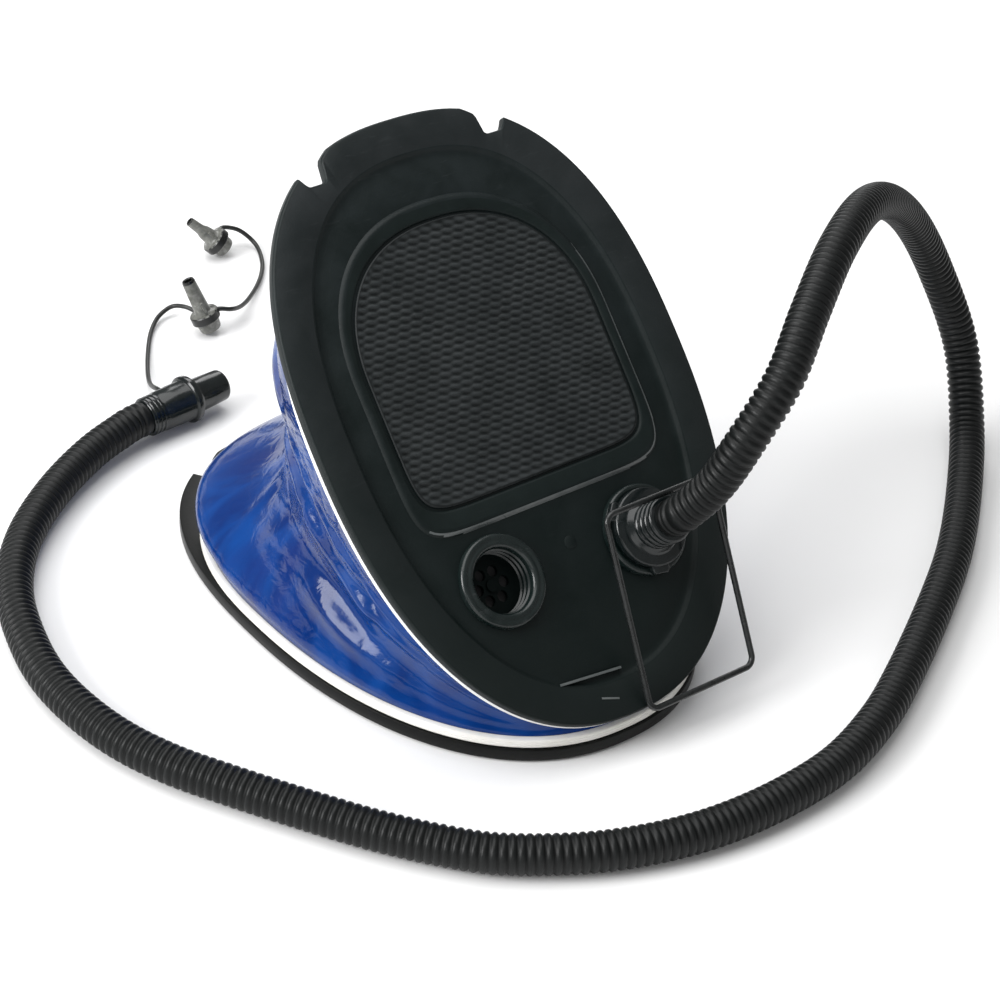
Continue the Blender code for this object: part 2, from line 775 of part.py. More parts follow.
def make_ring():
    route = ring_points()
    count = 8
    loops = []
    middle = route.mean(axis=0)
    for k, point in enumerate(route):
        ahead = route[(k + 1) % len(route)] - route[k - 1]
        ahead /= np.linalg.norm(ahead)
        upright = np.cross(route[5] - route[0], route[10] - route[5])
        upright /= np.linalg.norm(upright)
        side = np.cross(upright, ahead)
        if np.dot(side, point - middle) < 0.0:
            side = -side
        angles = np.linspace(0.0, 2.0 * math.pi, count, endpoint=False)
        loops.append([point + WIRE_RADIUS * (math.cos(a) * side + math.sin(a) * upright) for a in angles])
    origin = on_plate([((RING_LEFT + RING_RIGHT) / 2.0, *RING_FOOT)])[0]
    add_object("closing_ring", *hooped(loops), BLACK_WIRE, origin)


def build():
    clear_scene()
    make_base()
    make_feet()
    make_edges()
    make_treadle()
    make_pad()
    make_sockets()
    make_valves()
    make_hinge()
    make_bellows()
    make_spring()
    make_cuff()
    make_hose()
    make_adapters()
    make_straps()
    make_ring()


build()
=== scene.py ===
import math

import bmesh
import bpy
import numpy as np
from mathutils import Matrix, Vector


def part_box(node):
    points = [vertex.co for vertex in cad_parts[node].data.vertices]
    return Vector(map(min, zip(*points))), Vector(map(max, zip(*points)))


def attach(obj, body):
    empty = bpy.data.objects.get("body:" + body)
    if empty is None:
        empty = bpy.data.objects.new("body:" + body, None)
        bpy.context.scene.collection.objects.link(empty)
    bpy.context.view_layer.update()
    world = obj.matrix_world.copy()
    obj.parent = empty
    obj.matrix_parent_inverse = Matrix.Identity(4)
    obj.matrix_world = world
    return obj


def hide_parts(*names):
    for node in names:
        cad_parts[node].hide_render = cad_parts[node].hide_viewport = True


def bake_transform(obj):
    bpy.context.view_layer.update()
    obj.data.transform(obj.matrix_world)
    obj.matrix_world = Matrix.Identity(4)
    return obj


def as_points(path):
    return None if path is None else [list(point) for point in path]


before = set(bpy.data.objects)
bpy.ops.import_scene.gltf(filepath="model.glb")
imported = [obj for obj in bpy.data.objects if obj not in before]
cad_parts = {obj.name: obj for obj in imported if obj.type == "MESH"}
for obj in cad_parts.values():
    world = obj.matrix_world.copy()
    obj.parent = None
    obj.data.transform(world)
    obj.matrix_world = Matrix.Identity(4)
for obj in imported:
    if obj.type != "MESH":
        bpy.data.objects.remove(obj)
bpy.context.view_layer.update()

# A foot air pump: two egg-shaped plates with a wedge of vinyl between them, a
# ribbed hose with its nozzle and adapters, and a wire ring. Shapes are worked
# out in millimetres: x across, y from the hinge end to the lip, z up, and for
# the treadle t along it and h out of its top face. toRow puts them in the frame.

baseLow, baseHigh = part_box("base_tray")
pinLow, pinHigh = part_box("hinge_pin")

plates = {
    "halfWidth": baseHigh.x * 1000.0,
    "endY": baseLow.y * 1000.0,
    "middle": 159.2,  # from the hinge end to the widest place
    "near": 159.2,
    "far": 140.8,
    "nearPower": 2.24,
    "farPower": 2.5,
    "innerFar": 120.0,  # the skin and its bindings stop short of the lip
    "innerPower": 2.4,
    "step": 1.5,  # degrees between points round an edge
    "tilt": math.radians(45.15),
    "treadleStart": (-4.5, 21.4),
    "notch": ((59.6, 285.2), (58.3, 283.2), (57.0, 281.5), (55.5, 280.2), (54.5, 280.0),
              (48.0, 280.0), (46.8, 280.2), (45.6, 281.4), (45.1, 285.2), (44.5, 289.5),
              (43.6, 291.4), (41.0, 293.4), (38.0, 295.4)),
}
hingeY = (pinLow.y + pinHigh.y) * 500.0 - plates["endY"]
hingeZ = (pinLow.z + pinHigh.z) * 500.0


# Millimetres from the hinge end, as metres in the frame.
def toRow(points):
    return (np.asarray(points, float) + (0.0, plates["endY"], 0.0)) * 0.001


def onBase(x, y, z):
    return np.stack(np.broadcast_arrays(x, y, z), axis=-1).astype(float)


# x, t and h on the treadle: t along its slope and h square to it.
def onTreadle(x, t, h):
    y0, z0 = plates["treadleStart"]
    cosine, sine = math.cos(plates["tilt"]), math.sin(plates["tilt"])
    return onBase(x, y0 + t * cosine - h * sine, z0 + t * sine + h * cosine)


pinLevel = -(hingeY - plates["treadleStart"][0]) * math.sin(plates["tilt"])
pinLevel += (hingeZ - plates["treadleStart"][1]) * math.cos(plates["tilt"])


# A superellipse with its own reach and power ahead of and behind the widest place.
def eggRadius(angles, inset, far=None, power=None):
    cosine, sine = np.abs(np.cos(angles)), np.sin(angles)
    power = np.where(sine > 0, power or plates["farPower"], plates["nearPower"])
    reach = np.where(sine > 0, (far or plates["far"]) - inset, plates["near"] - inset)
    wide = (cosine / (plates["halfWidth"] - inset)) ** power
    return (wide + (np.abs(sine) / reach) ** power) ** (-1.0 / power)


def innerRadius(angles, inset):
    return eggRadius(angles, inset, plates["innerFar"], plates["innerPower"])


# Angles and radii of a plate's edge with its two notches.
def outline():
    right = np.array(plates["notch"])
    corners = np.vstack([right, (right * (-1.0, 1.0))[::-1]])
    corners[:, 1] -= plates["middle"]
    turn = np.arctan2(corners[:, 1], corners[:, 0])
    plain = np.radians(np.arange(-90.0, 270.0, plates["step"]))
    count = len(right)
    outside = (plain < turn[0] - 0.012) | (plain > turn[-1] + 0.012)
    between = (plain > turn[count - 1] + 0.012) & (plain < turn[count] - 0.012)
    plain = plain[outside | between]
    angles = np.concatenate([plain, turn])
    radii = np.concatenate([eggRadius(plain, 0.0), np.hypot(corners[:, 0], corners[:, 1])])
    order = np.argsort(angles)
    return angles[order], radii[order]


def evenAngles(step=None):
    return np.radians(np.arange(-90.0, 270.0, step or plates["step"]))


def edgeLoop(place, angles, radii, height):
    return place(radii * np.cos(angles), plates["middle"] + radii * np.sin(angles), height)


# Quads between neighbouring rows and columns of a grid of points.
def gridFaces(rows, columns, closeRows=False, closeColumns=True, start=0):
    r = np.arange(rows if closeRows else rows - 1)[:, None]
    c = np.arange(columns if closeColumns else columns - 1)[None, :]
    nextRow, nextColumn = (r + 1) % rows, (c + 1) % columns
    quads = [r * columns + c, r * columns + nextColumn, nextRow * columns + nextColumn, nextRow * columns + c]
    return (np.stack(quads, axis=-1).reshape(-1, 4) + start).tolist()


# Points and faces through loops of equal length: a hoop, or a body with flat caps.
def loft(loops, ends="hoop"):
    points = np.vstack(loops)
    rows, columns = len(loops), len(loops[0])
    faces = gridFaces(rows, columns, closeRows=ends == "hoop")
    if ends == "caps":
        faces.append(list(range(columns))[::-1])
        faces.append(list(range((rows - 1) * columns, rows * columns)))
    return points, faces


def joined(parts):
    points, faces, start = [], [], 0
    for partPoints, partFaces in parts:
        points.append(np.asarray(partPoints))
        faces += [[i + start for i in face] for face in partFaces]
        start += len(partPoints)
    return np.vstack(points), faces


# A mesh object in the frame from points in millimetres, with its normals outwards.
def makePiece(name, shape, materials, sharp=32.0, outward=True):
    points, faces = shape
    mesh = bpy.data.meshes.new(name)
    mesh.from_pydata(toRow(points).tolist(), [], faces)
    if outward:
        body = bmesh.new()
        body.from_mesh(mesh)
        bmesh.ops.recalc_face_normals(body, faces=body.faces)
        body.to_mesh(mesh)
        body.free()
    for material in materials:
        mesh.materials.append(material)
    piece = bpy.data.objects.new(name, mesh)
    bpy.context.scene.collection.objects.link(piece)
    smoothed(piece, sharp)
    return piece


def smoothed(piece, sharp):
    piece.data.shade_smooth()
    piece.data.set_sharp_from_angle(angle=math.radians(sharp))


# Joins or cuts closed bodies into a piece, one after another, and keeps the result.
def carved(piece, tools, sharp=32.0):
    made = []
    for operation, shape in tools:
        tool = makePiece("tool", shape, [])
        made.append(tool)
        step = piece.modifiers.new("step", "BOOLEAN")
        step.operation = operation
        step.solver = "EXACT"
        step.object = tool
    result = bpy.data.meshes.new_from_object(piece.evaluated_get(bpy.context.evaluated_depsgraph_get()))
    piece.modifiers.clear()
    piece.data = result
    for tool in made:
        bpy.data.objects.remove(tool, do_unlink=True)
    smoothed(piece, sharp)
    return piece


# A lathe shape: (radius, height) pairs turned about an upright line at centre.
def turned(place, profile, centre, count=72, ends="hoop"):
    angles = np.linspace(0.0, 2.0 * math.pi, count, endpoint=False)
    loops = []
    for radius, height in profile:
        loops.append(place(centre[0] + radius * np.cos(angles), centre[1] + radius * np.sin(angles), height))
    return loft(loops, ends)


# A place function whose third coordinate runs from start along direction.
def along(start, direction):
    ahead = np.array(direction) / np.linalg.norm(direction)
    side = np.cross((0.0, 0.0, 1.0), ahead)
    side /= np.linalg.norm(side)
    axes = np.array([side, np.cross(ahead, side), ahead])

    def place(x, y, z):
        return np.array(start) + onBase(x, y, z) @ axes

    return place


# A smooth centripetal curve through a route's points, read at an even spacing.
def smoothRoute(route, spacing):
    route = np.array(route, float)
    padded = np.vstack([2.0 * route[0] - route[1], route, 2.0 * route[-1] - route[-2]])
    share = np.linspace(0.0, 1.0, 48, endpoint=False)[None, :, None]
    corners = [padded[k : len(padded) - 3 + k][:, None, :] for k in range(4)]
    gaps = [np.sqrt(np.linalg.norm(corners[k + 1] - corners[k], axis=2, keepdims=True)) for k in range(3)]
    knots = [np.zeros_like(gaps[0]), gaps[0], gaps[0] + gaps[1], gaps[0] + gaps[1] + gaps[2]]
    at = knots[1] + share * gaps[1]

    def between(first, second, low, high):
        return (high - at) / (high - low) * first + (at - low) / (high - low) * second

    one = between(corners[0], corners[1], knots[0], knots[1])
    two = between(corners[1], corners[2], knots[1], knots[2])
    three = between(corners[2], corners[3], knots[2], knots[3])
    four = between(one, two, knots[0], knots[2])
    five = between(two, three, knots[1], knots[3])
    dense = between(four, five, knots[1], knots[2]).reshape(-1, 3)
    return evenly(np.vstack([dense, route[-1:]]), spacing)


def evenly(line, spacing):
    travelled = distances(line)
    count = max(int(round(travelled[-1] / spacing)), 2) + 1
    wanted = np.linspace(0.0, travelled[-1], count)
    return np.column_stack([np.interp(wanted, travelled, line[:, k]) for k in range(3)])


def distances(line):
    return np.concatenate([[0.0], np.cumsum(np.linalg.norm(np.diff(line, axis=0), axis=1))])


# Circles square to a line. Their first spoke is square to one fixed direction,
# the one that the line is never near to.
def sweptTube(line, radii, sides, closed=False):
    if closed:
        ahead = np.roll(line, -1, axis=0) - np.roll(line, 1, axis=0)
    else:
        ahead = np.gradient(line, axis=0)
    ahead /= np.linalg.norm(ahead, axis=1, keepdims=True)
    k = np.arange(300) + 0.5
    height, turn = 1.0 - 2.0 * k / 300.0, math.pi * (1.0 + 5.0**0.5) * k
    flat = np.sqrt(1.0 - height**2)
    tries = np.column_stack([flat * np.cos(turn), flat * np.sin(turn), height])
    fixed = tries[np.argmin(np.abs(ahead @ tries.T).max(axis=0))]
    side = np.cross(ahead, fixed)
    side /= np.linalg.norm(side, axis=1, keepdims=True)
    up = np.cross(side, ahead)
    angles = np.linspace(0.0, 2.0 * math.pi, sides, endpoint=False)
    spokes = np.cos(angles)[None, :, None] * side[:, None, :] + np.sin(angles)[None, :, None] * up[:, None, :]
    rings = line[:, None, :] + np.asarray(radii)[:, None, None] * spokes
    return loft(list(rings), "hoop" if closed else "caps")


# Keeps one number for each point of a piece, for its material to read.
def pointValues(piece, name, values):
    attribute = piece.data.attributes.new(name, "FLOAT", "POINT")
    attribute.data.foreach_set("value", np.asarray(values, np.float32))


# Bakes the piece's place into its points; it does not bend the piece by its shares, 0 at the base and 1 at
# the treadle.
def bendShares(piece, shares):
    lowHinge = Vector(toRow((0.0, hingeY, hingeZ)))
    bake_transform(piece)


def newGroup(name, inputs, outputs):
    group = bpy.data.node_groups.new(name, "ShaderNodeTree")
    for label, kind, value in inputs:
        socket = group.interface.new_socket(label, in_out="INPUT", socket_type=kind)
        if value is not None:
            socket.default_value = value
    for label, kind in outputs:
        group.interface.new_socket(label, in_out="OUTPUT", socket_type=kind)
    start = group.nodes.new("NodeGroupInput")
    end = group.nodes.new("NodeGroupOutput")
    return group, start, end


# A node with its own settings; values go to the inputs of those names.
def addNode(tree, kind, settings=None, **values):
    node = tree.nodes.new(kind)
    for name, value in (settings or {}).items():
        setattr(node, name, value)
    for name, value in values.items():
        socket = node.inputs[name.replace("_", " ")]
        if isinstance(value, bpy.types.NodeSocket):
            tree.links.new(value, socket)
        else:
            socket.default_value = value
    return node


def noise(tree, vector, scale, detail=3.0, roughness=0.55, distortion=0.0):
    node = addNode(tree, "ShaderNodeTexNoise", None, Vector=vector, Scale=scale, Detail=detail,
                   Roughness=roughness, Distortion=distortion)
    return node.outputs["Fac"]


def remap(tree, value, low, high, newLow, newHigh):
    node = tree.nodes.new("ShaderNodeMapRange")
    for index, number in ((1, low), (2, high), (3, newLow), (4, newHigh)):
        if isinstance(number, bpy.types.NodeSocket):
            tree.links.new(number, node.inputs[index])
        else:
            node.inputs[index].default_value = number
    tree.links.new(value, node.inputs[0])
    return node.outputs[0]


def mixColour(tree, share, first, second):
    node = tree.nodes.new("ShaderNodeMix")
    node.data_type = "RGBA"
    for index, value in ((0, share), (6, first), (7, second)):
        if isinstance(value, bpy.types.NodeSocket):
            tree.links.new(value, node.inputs[index])
        elif index == 0:
            node.inputs[0].default_value = value
        else:
            node.inputs[index].default_value = (*value, 1.0)
    return node.outputs[2]


def maths(tree, operation, first, second=0.0):
    node = tree.nodes.new("ShaderNodeMath")
    node.operation = operation
    for index, value in ((0, first), (1, second)):
        if isinstance(value, bpy.types.NodeSocket):
            tree.links.new(value, node.inputs[index])
        else:
            node.inputs[index].default_value = value
    return node.outputs[0]


# Mottling, fine grain and handling scuffs of a moulded surface.
def buildMouldedSkin():
    group, start, end = newGroup(
        "mouldedSkin",
        (("Coordinate", "NodeSocketVector", None), ("Mottle Size", "NodeSocketFloat", 30.0),
         ("Grain Size", "NodeSocketFloat", 900.0), ("Scuff Size", "NodeSocketFloat", 60.0)),
        (("Mottle", "NodeSocketFloat"), ("Grain", "NodeSocketFloat"), ("Scuff", "NodeSocketFloat")),
    )
    place = start.outputs["Coordinate"]
    mottle = noise(group, place, start.outputs["Mottle Size"], 5.0, 0.6, 0.4)
    grain = noise(group, place, start.outputs["Grain Size"], 2.0, 0.5)
    stretch = addNode(group, "ShaderNodeMapping", None, Vector=place, Scale=(1.0, 7.0, 3.0),
                      Rotation=(0.5, 0.2, 0.7))
    scuff = noise(group, stretch.outputs[0], start.outputs["Scuff Size"], 6.0, 0.7, 0.6)
    group.links.new(remap(group, mottle, 0.3, 0.7, 0.0, 1.0), end.inputs["Mottle"])
    group.links.new(grain, end.inputs["Grain"])
    group.links.new(remap(group, scuff, 0.60, 0.74, 0.0, 1.0), end.inputs["Scuff"])
    return group


mouldedSkin = buildMouldedSkin()


def newMaterial(name, specular=0.5, **fixed):
    material = bpy.data.materials.new(name)
    material.use_nodes = True
    tree = material.node_tree
    shader = tree.nodes["Principled BSDF"]
    shader.inputs["Specular IOR Level"].default_value = specular
    for label, value in fixed.items():
        shader.inputs[label.replace("_", " ")].default_value = value
    return material, tree, shader


def objectPlace(tree):
    return addNode(tree, "ShaderNodeTexCoord").outputs["Object"]


def skinNode(tree, mottle, grain, scuff):
    node = tree.nodes.new("ShaderNodeGroup")
    node.node_tree = mouldedSkin
    tree.links.new(objectPlace(tree), node.inputs["Coordinate"])
    node.inputs["Mottle Size"].default_value = mottle
    node.inputs["Grain Size"].default_value = grain
    node.inputs["Scuff Size"].default_value = scuff
    return node


def bump(tree, shader, height, strength, distance):
    node = addNode(tree, "ShaderNodeBump", None, Height=height, Strength=strength, Distance=distance)
    tree.links.new(node.outputs["Normal"], shader.inputs["Normal"])


# Moulded plastic: two tones in a mottle, paler scuffs and a fine grain; a foot colour, where given, is a
# painted shade that darkens it lower down.
def plasticMaterial(name, look):
    material, tree, shader = newMaterial(name, look.get("specular", 0.5))
    skin = skinNode(tree, look["mottle"], look["grain"], look.get("scuffSize", 60.0))
    colour = mixColour(tree, skin.outputs["Mottle"], look["dark"], look["light"])
    share = maths(tree, "MULTIPLY", skin.outputs["Scuff"], look.get("scuff", 0.3))
    colour = mixColour(tree, share, colour, look.get("scuffTone", (0.09, 0.095, 0.1)))
    # Painted shade: the foot colour takes over below 0.20 m up, and fully below 0.05 m.
    if "foot" in look:
        rise = addNode(tree, "ShaderNodeSeparateXYZ", None, Vector=objectPlace(tree)).outputs["Z"]
        colour = mixColour(tree, remap(tree, rise, 0.05, 0.20, 0.0, 1.0), look["foot"], colour)
    tree.links.new(colour, shader.inputs["Base Color"])
    low, high = look["rough"]
    tree.links.new(remap(tree, skin.outputs["Mottle"], 0.0, 1.0, low, high), shader.inputs["Roughness"])
    shader.inputs["Metallic"].default_value = look.get("metallic", 0.0)
    bump(tree, shader, skin.outputs["Grain"], look.get("bump", 0.3), look.get("depth", 0.0002))
    return material


# foot: the colour of a painted shade lower down on the treadle.
looks = {
    "fieldPlastic": {"dark": (0.0012, 0.0048, 0.0046), "light": (0.0078, 0.0130, 0.0140), "mottle": 38.0,
                     "grain": 700.0, "rough": (0.42, 0.60), "bump": 0.35, "scuff": 0.10, "specular": 0.28,
                     "foot": (0.0008, 0.0046, 0.0042)},
    "zonePlastic": {"dark": (0.0012, 0.0048, 0.0044), "light": (0.0030, 0.0082, 0.0078), "mottle": 50.0,
                    "grain": 900.0, "rough": (0.46, 0.62), "bump": 0.2, "scuff": 0.06, "specular": 0.26},
    "flangePlastic": {"dark": (0.0050, 0.0085, 0.0092), "light": (0.0150, 0.0190, 0.0205), "mottle": 26.0,
                      "grain": 900.0, "rough": (0.44, 0.60), "bump": 0.3, "scuff": 0.12, "specular": 0.34,
                      "foot": (0.0012, 0.0052, 0.0048)},
    # edgePaintedHighlight: a pale colour put on lit edges as a painted highlight.
    "edgePaintedHighlight": {"dark": (0.070, 0.080, 0.080), "light": (0.130, 0.142, 0.142), "mottle": 60.0,
                    "grain": 900.0, "rough": (0.26, 0.38), "bump": 0.15, "scuff": 0.20, "specular": 0.5},
    "socketPlastic": {"dark": (0.0022, 0.0070, 0.0066), "light": (0.0090, 0.0140, 0.0136), "mottle": 70.0,
                      "grain": 900.0, "rough": (0.22, 0.32), "bump": 0.15, "scuff": 0.25, "specular": 0.5},
    "basePlastic": {"dark": (0.0012, 0.0014, 0.0010), "light": (0.0040, 0.0044, 0.0040), "mottle": 40.0,
                    "grain": 800.0, "rough": (0.34, 0.48), "bump": 0.25, "scuff": 0.1, "specular": 0.2},
    "cuffPlastic": {"dark": (0.0022, 0.0046, 0.0048), "light": (0.0080, 0.0108, 0.0112), "mottle": 80.0,
                    "grain": 1100.0, "rough": (0.13, 0.22), "bump": 0.15, "scuff": 0.15, "specular": 0.5},
    "footRubber": {"dark": (0.012, 0.012, 0.013), "light": (0.030, 0.030, 0.031), "mottle": 120.0,
                   "grain": 1500.0, "rough": (0.70, 0.86), "bump": 0.5, "scuff": 0.35},
    # valvePaintedShade: near black, a painted shade for the dark bore of the sockets.
    "valvePaintedShade": {"dark": (0.0004, 0.0026, 0.0024), "light": (0.0012, 0.0044, 0.0040), "mottle": 90.0,
                  "grain": 1200.0, "rough": (0.50, 0.64), "bump": 0.2, "scuff": 0.05, "specular": 0.12},
    "strapGrey": {"dark": (0.0040, 0.0045, 0.0040), "light": (0.0130, 0.0140, 0.0125), "mottle": 150.0,
                  "grain": 1600.0, "rough": (0.32, 0.46), "bump": 0.2, "scuff": 0.1},
    "adapterCollar": {"dark": (0.0015, 0.0022, 0.0020), "light": (0.0060, 0.0068, 0.0062), "mottle": 160.0,
                      "grain": 1800.0, "rough": (0.24, 0.36), "bump": 0.2, "scuff": 0.1},
    "adapterGrey": {"dark": (0.070, 0.072, 0.064), "light": (0.200, 0.202, 0.185), "mottle": 200.0,
                    "grain": 1500.0, "rough": (0.18, 0.30), "bump": 0.15, "scuff": 0.05,
                    "scuffTone": (0.45, 0.45, 0.43)},
    "zincSteel": {"dark": (0.42, 0.43, 0.44), "light": (0.62, 0.63, 0.64), "mottle": 160.0, "grain": 2200.0,
                  "rough": (0.24, 0.42), "bump": 0.15, "scuff": 0.3, "scuffTone": (0.30, 0.29, 0.27),
                  "metallic": 1.0},
    "coatedWire": {"dark": (0.0050, 0.0060, 0.0060), "light": (0.0160, 0.0180, 0.0180), "mottle": 140.0,
                   "grain": 1600.0, "rough": (0.22, 0.34), "bump": 0.15, "scuff": 0.25, "specular": 0.5},
}


# Blue coated cloth: two blues, a violet cast in places, fine crinkles that run with the folds.
def vinylMaterial():
    material, tree, shader = newMaterial("blueVinyl", 0.30)
    place = addNode(tree, "ShaderNodeAttribute", {"attribute_name": "skinPlace"}).outputs["Vector"]
    broad = remap(tree, noise(tree, place, 2.6, 3.0, 0.5, 0.6), 0.35, 0.65, 0.0, 1.0)
    violet = remap(tree, noise(tree, place, 1.7, 2.0, 0.5, 0.3), 0.50, 0.72, 0.0, 0.55)
    colour = mixColour(tree, broad, (0.0012, 0.020, 0.125), (0.0020, 0.044, 0.215))
    colour = mixColour(tree, violet, colour, (0.010, 0.018, 0.125))
    tree.links.new(colour, shader.inputs["Base Color"])
    tree.links.new(remap(tree, broad, 0.0, 1.0, 0.13, 0.20), shader.inputs["Roughness"])
    stretch = addNode(tree, "ShaderNodeMapping", None, Vector=place, Scale=(1.0, 1.0, 2.4))
    crinkle = noise(tree, stretch.outputs[0], 6.0, 2.0, 0.45, 0.8)
    fine = noise(tree, place, 60.0, 2.0, 0.5)
    height = maths(tree, "ADD", crinkle, maths(tree, "MULTIPLY", fine, 0.03))
    bump(tree, shader, height, 0.20, 0.0022)
    return material


def whiteVinylMaterial(name, tone, shade):
    material, tree, shader = newMaterial(name, 0.5)
    skin = skinNode(tree, 60.0, 1200.0, 90.0)
    colour = mixColour(tree, skin.outputs["Mottle"], shade, tone)
    share = maths(tree, "MULTIPLY", skin.outputs["Scuff"], 0.18)
    tree.links.new(mixColour(tree, share, colour, (0.45, 0.42, 0.34)), shader.inputs["Base Color"])
    tree.links.new(remap(tree, skin.outputs["Mottle"], 0.0, 1.0, 0.32, 0.42), shader.inputs["Roughness"])
    bump(tree, shader, skin.outputs["Grain"], 0.2, 0.0002)
    return material


# Ribbed hose: crests are rubbed paler and smoother, grooves stay dark.
def hoseMaterial():
    material, tree, shader = newMaterial("hosePlastic", 0.24)
    skin = skinNode(tree, 90.0, 1300.0, 70.0)
    crest = addNode(tree, "ShaderNodeAttribute", {"attribute_name": "crest"}).outputs["Fac"]
    body = mixColour(tree, skin.outputs["Mottle"], (0.0009, 0.0014, 0.0014), (0.0030, 0.0038, 0.0038))
    worn = maths(tree, "MULTIPLY", crest, remap(tree, skin.outputs["Scuff"], 0.0, 1.0, 0.25, 0.70))
    tree.links.new(mixColour(tree, worn, body, (0.016, 0.018, 0.018)), shader.inputs["Base Color"])
    tree.links.new(remap(tree, crest, 0.0, 1.0, 0.55, 0.38), shader.inputs["Roughness"])
    bump(tree, shader, skin.outputs["Grain"], 0.2, 0.0002)
    return material


# Grip pad: the crests of the moulded mesh are painted pale as a painted highlight, and its hollows dark as
# painted shade.
def padMaterial():
    material, tree, shader = newMaterial("padPlastic", 0.26)
    skin = skinNode(tree, 60.0, 1400.0, 80.0)
    crest = addNode(tree, "ShaderNodeAttribute", {"attribute_name": "crest"}).outputs["Fac"]
    # Painted shade for the hollows of the mesh, painted highlight for its crests.
    shadedPits = mixColour(tree, skin.outputs["Mottle"], (0.0022, 0.0038, 0.0040), (0.0050, 0.0070, 0.0072))
    litTops = mixColour(tree, skin.outputs["Mottle"], (0.021, 0.025, 0.026), (0.035, 0.040, 0.042))
    tree.links.new(mixColour(tree, crest, shadedPits, litTops), shader.inputs["Base Color"])
    tree.links.new(remap(tree, skin.outputs["Mottle"], 0.0, 1.0, 0.44, 0.58), shader.inputs["Roughness"])
    bump(tree, shader, skin.outputs["Grain"], 0.25, 0.0002)
    return material


def floorMaterial():
    material, tree, shader = newMaterial("studioFloor", 0.2)
    skin = skinNode(tree, 3.0, 400.0, 5.0)
    tree.links.new(mixColour(tree, skin.outputs["Mottle"], (0.90, 0.90, 0.90), (0.91, 0.91, 0.91)),
                   shader.inputs["Base Color"])
    shader.inputs["Roughness"].default_value = 0.8
    return material


finish = {name: plasticMaterial(name, look) for name, look in looks.items()}
finish["blueVinyl"] = vinylMaterial()
finish["whiteBand"] = whiteVinylMaterial("whiteBand", (0.90, 0.885, 0.85), (0.80, 0.785, 0.73))
finish["whitePiping"] = whiteVinylMaterial("whitePiping", (0.93, 0.93, 0.92), (0.86, 0.86, 0.85))
finish["hosePlastic"] = hoseMaterial()
finish["padPlastic"] = padMaterial()
print("materials:", len(finish))


studio = {
    "lights": (  # name, place, aim, width in metres, watts
        ("overhead", (-0.3, 0.5, 2.2), (0.0, 0.0, 0.0), 2.2, 42.0),
        ("leftKey", (-1.9, 0.3, 1.15), (0.0, 0.0, 0.1), 1.15, 46.0),
        ("frontLeft", (-1.2, -1.8, 0.9), (0.0, 0.0, 0.1), 1.2, 6.0),
        ("backRight", (1.2, 1.9, 1.5), (0.1, 0.0, 0.1), 1.2, 16.0),
    ),
    "azimuth": -38.78,
    "elevation": 34.82,
    "roll": 3.75,
    "distance": 1.37408,
    "target": (0.0, 0.00425, 0.060),
    "lens": 100.84,
    "shift": (0.0556, -0.0184),
    "world": 0.30,
}


def makeCamera():
    data = bpy.data.cameras.new("camera")
    data.lens = studio["lens"]
    data.sensor_width = 36.0
    data.shift_x, data.shift_y = studio["shift"]
    camera = bpy.data.objects.new("camera", data)
    bpy.context.scene.collection.objects.link(camera)
    a, e = math.radians(studio["azimuth"]), math.radians(studio["elevation"])
    back = Vector((math.sin(a) * math.cos(e), -math.cos(a) * math.cos(e), math.sin(e)))
    right = Vector((math.cos(a), math.sin(a), 0.0))
    up = back.cross(right)
    roll = math.radians(studio["roll"])
    axisX = math.cos(roll) * right + math.sin(roll) * up
    axisY = math.cos(roll) * up - math.sin(roll) * right
    place = Matrix((axisX, axisY, back)).transposed().to_4x4()
    place.translation = Vector(studio["target"]) + back * studio["distance"]
    camera.matrix_world = place
    bpy.context.scene.camera = camera


def softbox(name, place, aim, size, power, tone=(1.0, 1.0, 1.0)):
    data = bpy.data.lights.new(name, "AREA")
    data.shape = "RECTANGLE"
    data.size, data.size_y = size
    data.energy = power
    data.color = tone
    light = bpy.data.objects.new(name, data)
    bpy.context.scene.collection.objects.link(light)
    light.location = place
    light.rotation_mode = "QUATERNION"
    light.rotation_quaternion = (Vector(aim) - Vector(place)).to_track_quat("-Z", "Y")


def makeStudio():
    world = bpy.data.worlds.new("studio")
    world.use_nodes = True
    background = world.node_tree.nodes["Background"]
    background.inputs["Color"].default_value = (1.0, 1.0, 1.0, 1.0)
    background.inputs["Strength"].default_value = studio["world"]
    bpy.context.scene.world = world
    bpy.context.scene.view_settings.view_transform = "Standard"
    for name, place, aim, size, power in studio["lights"]:
        softbox(name, place, aim, (size, size), power)
    half = 6.0
    corners = [(-half, -half, 0.0), (half, -half, 0.0), (half, half, 0.0), (-half, half, 0.0)]
    mesh = bpy.data.meshes.new("floor")
    mesh.from_pydata(corners, [], [(0, 1, 2, 3)])
    mesh.materials.append(floorMaterial())
    floor = bpy.data.objects.new("floor", mesh)
    bpy.context.scene.collection.objects.link(floor)


makeCamera()
makeStudio()
print("camera, light and floor: ready")


# The body that carries a piece, and the node that it stands for, which is hidden.
def fitted(piece, node, body=None):
    if body:
        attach(piece, body)
    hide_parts(node)


def smoothStep(share):
    return share * share * (3.0 - 2.0 * share)


# The y and z of points at a reach and a level from the hinge pin, turned up about it.
def aboutHinge(reach, level, turn):
    return (hingeY + reach * np.cos(turn) - level * np.sin(turn),
            hingeZ + reach * np.sin(turn) + level * np.cos(turn))


# The level of a part that spans the plates, from its low end to its high end.
def levelAt(settings, rise):
    low = settings["low"] - hingeZ
    return low + (settings["high"] - pinLevel - low) * rise


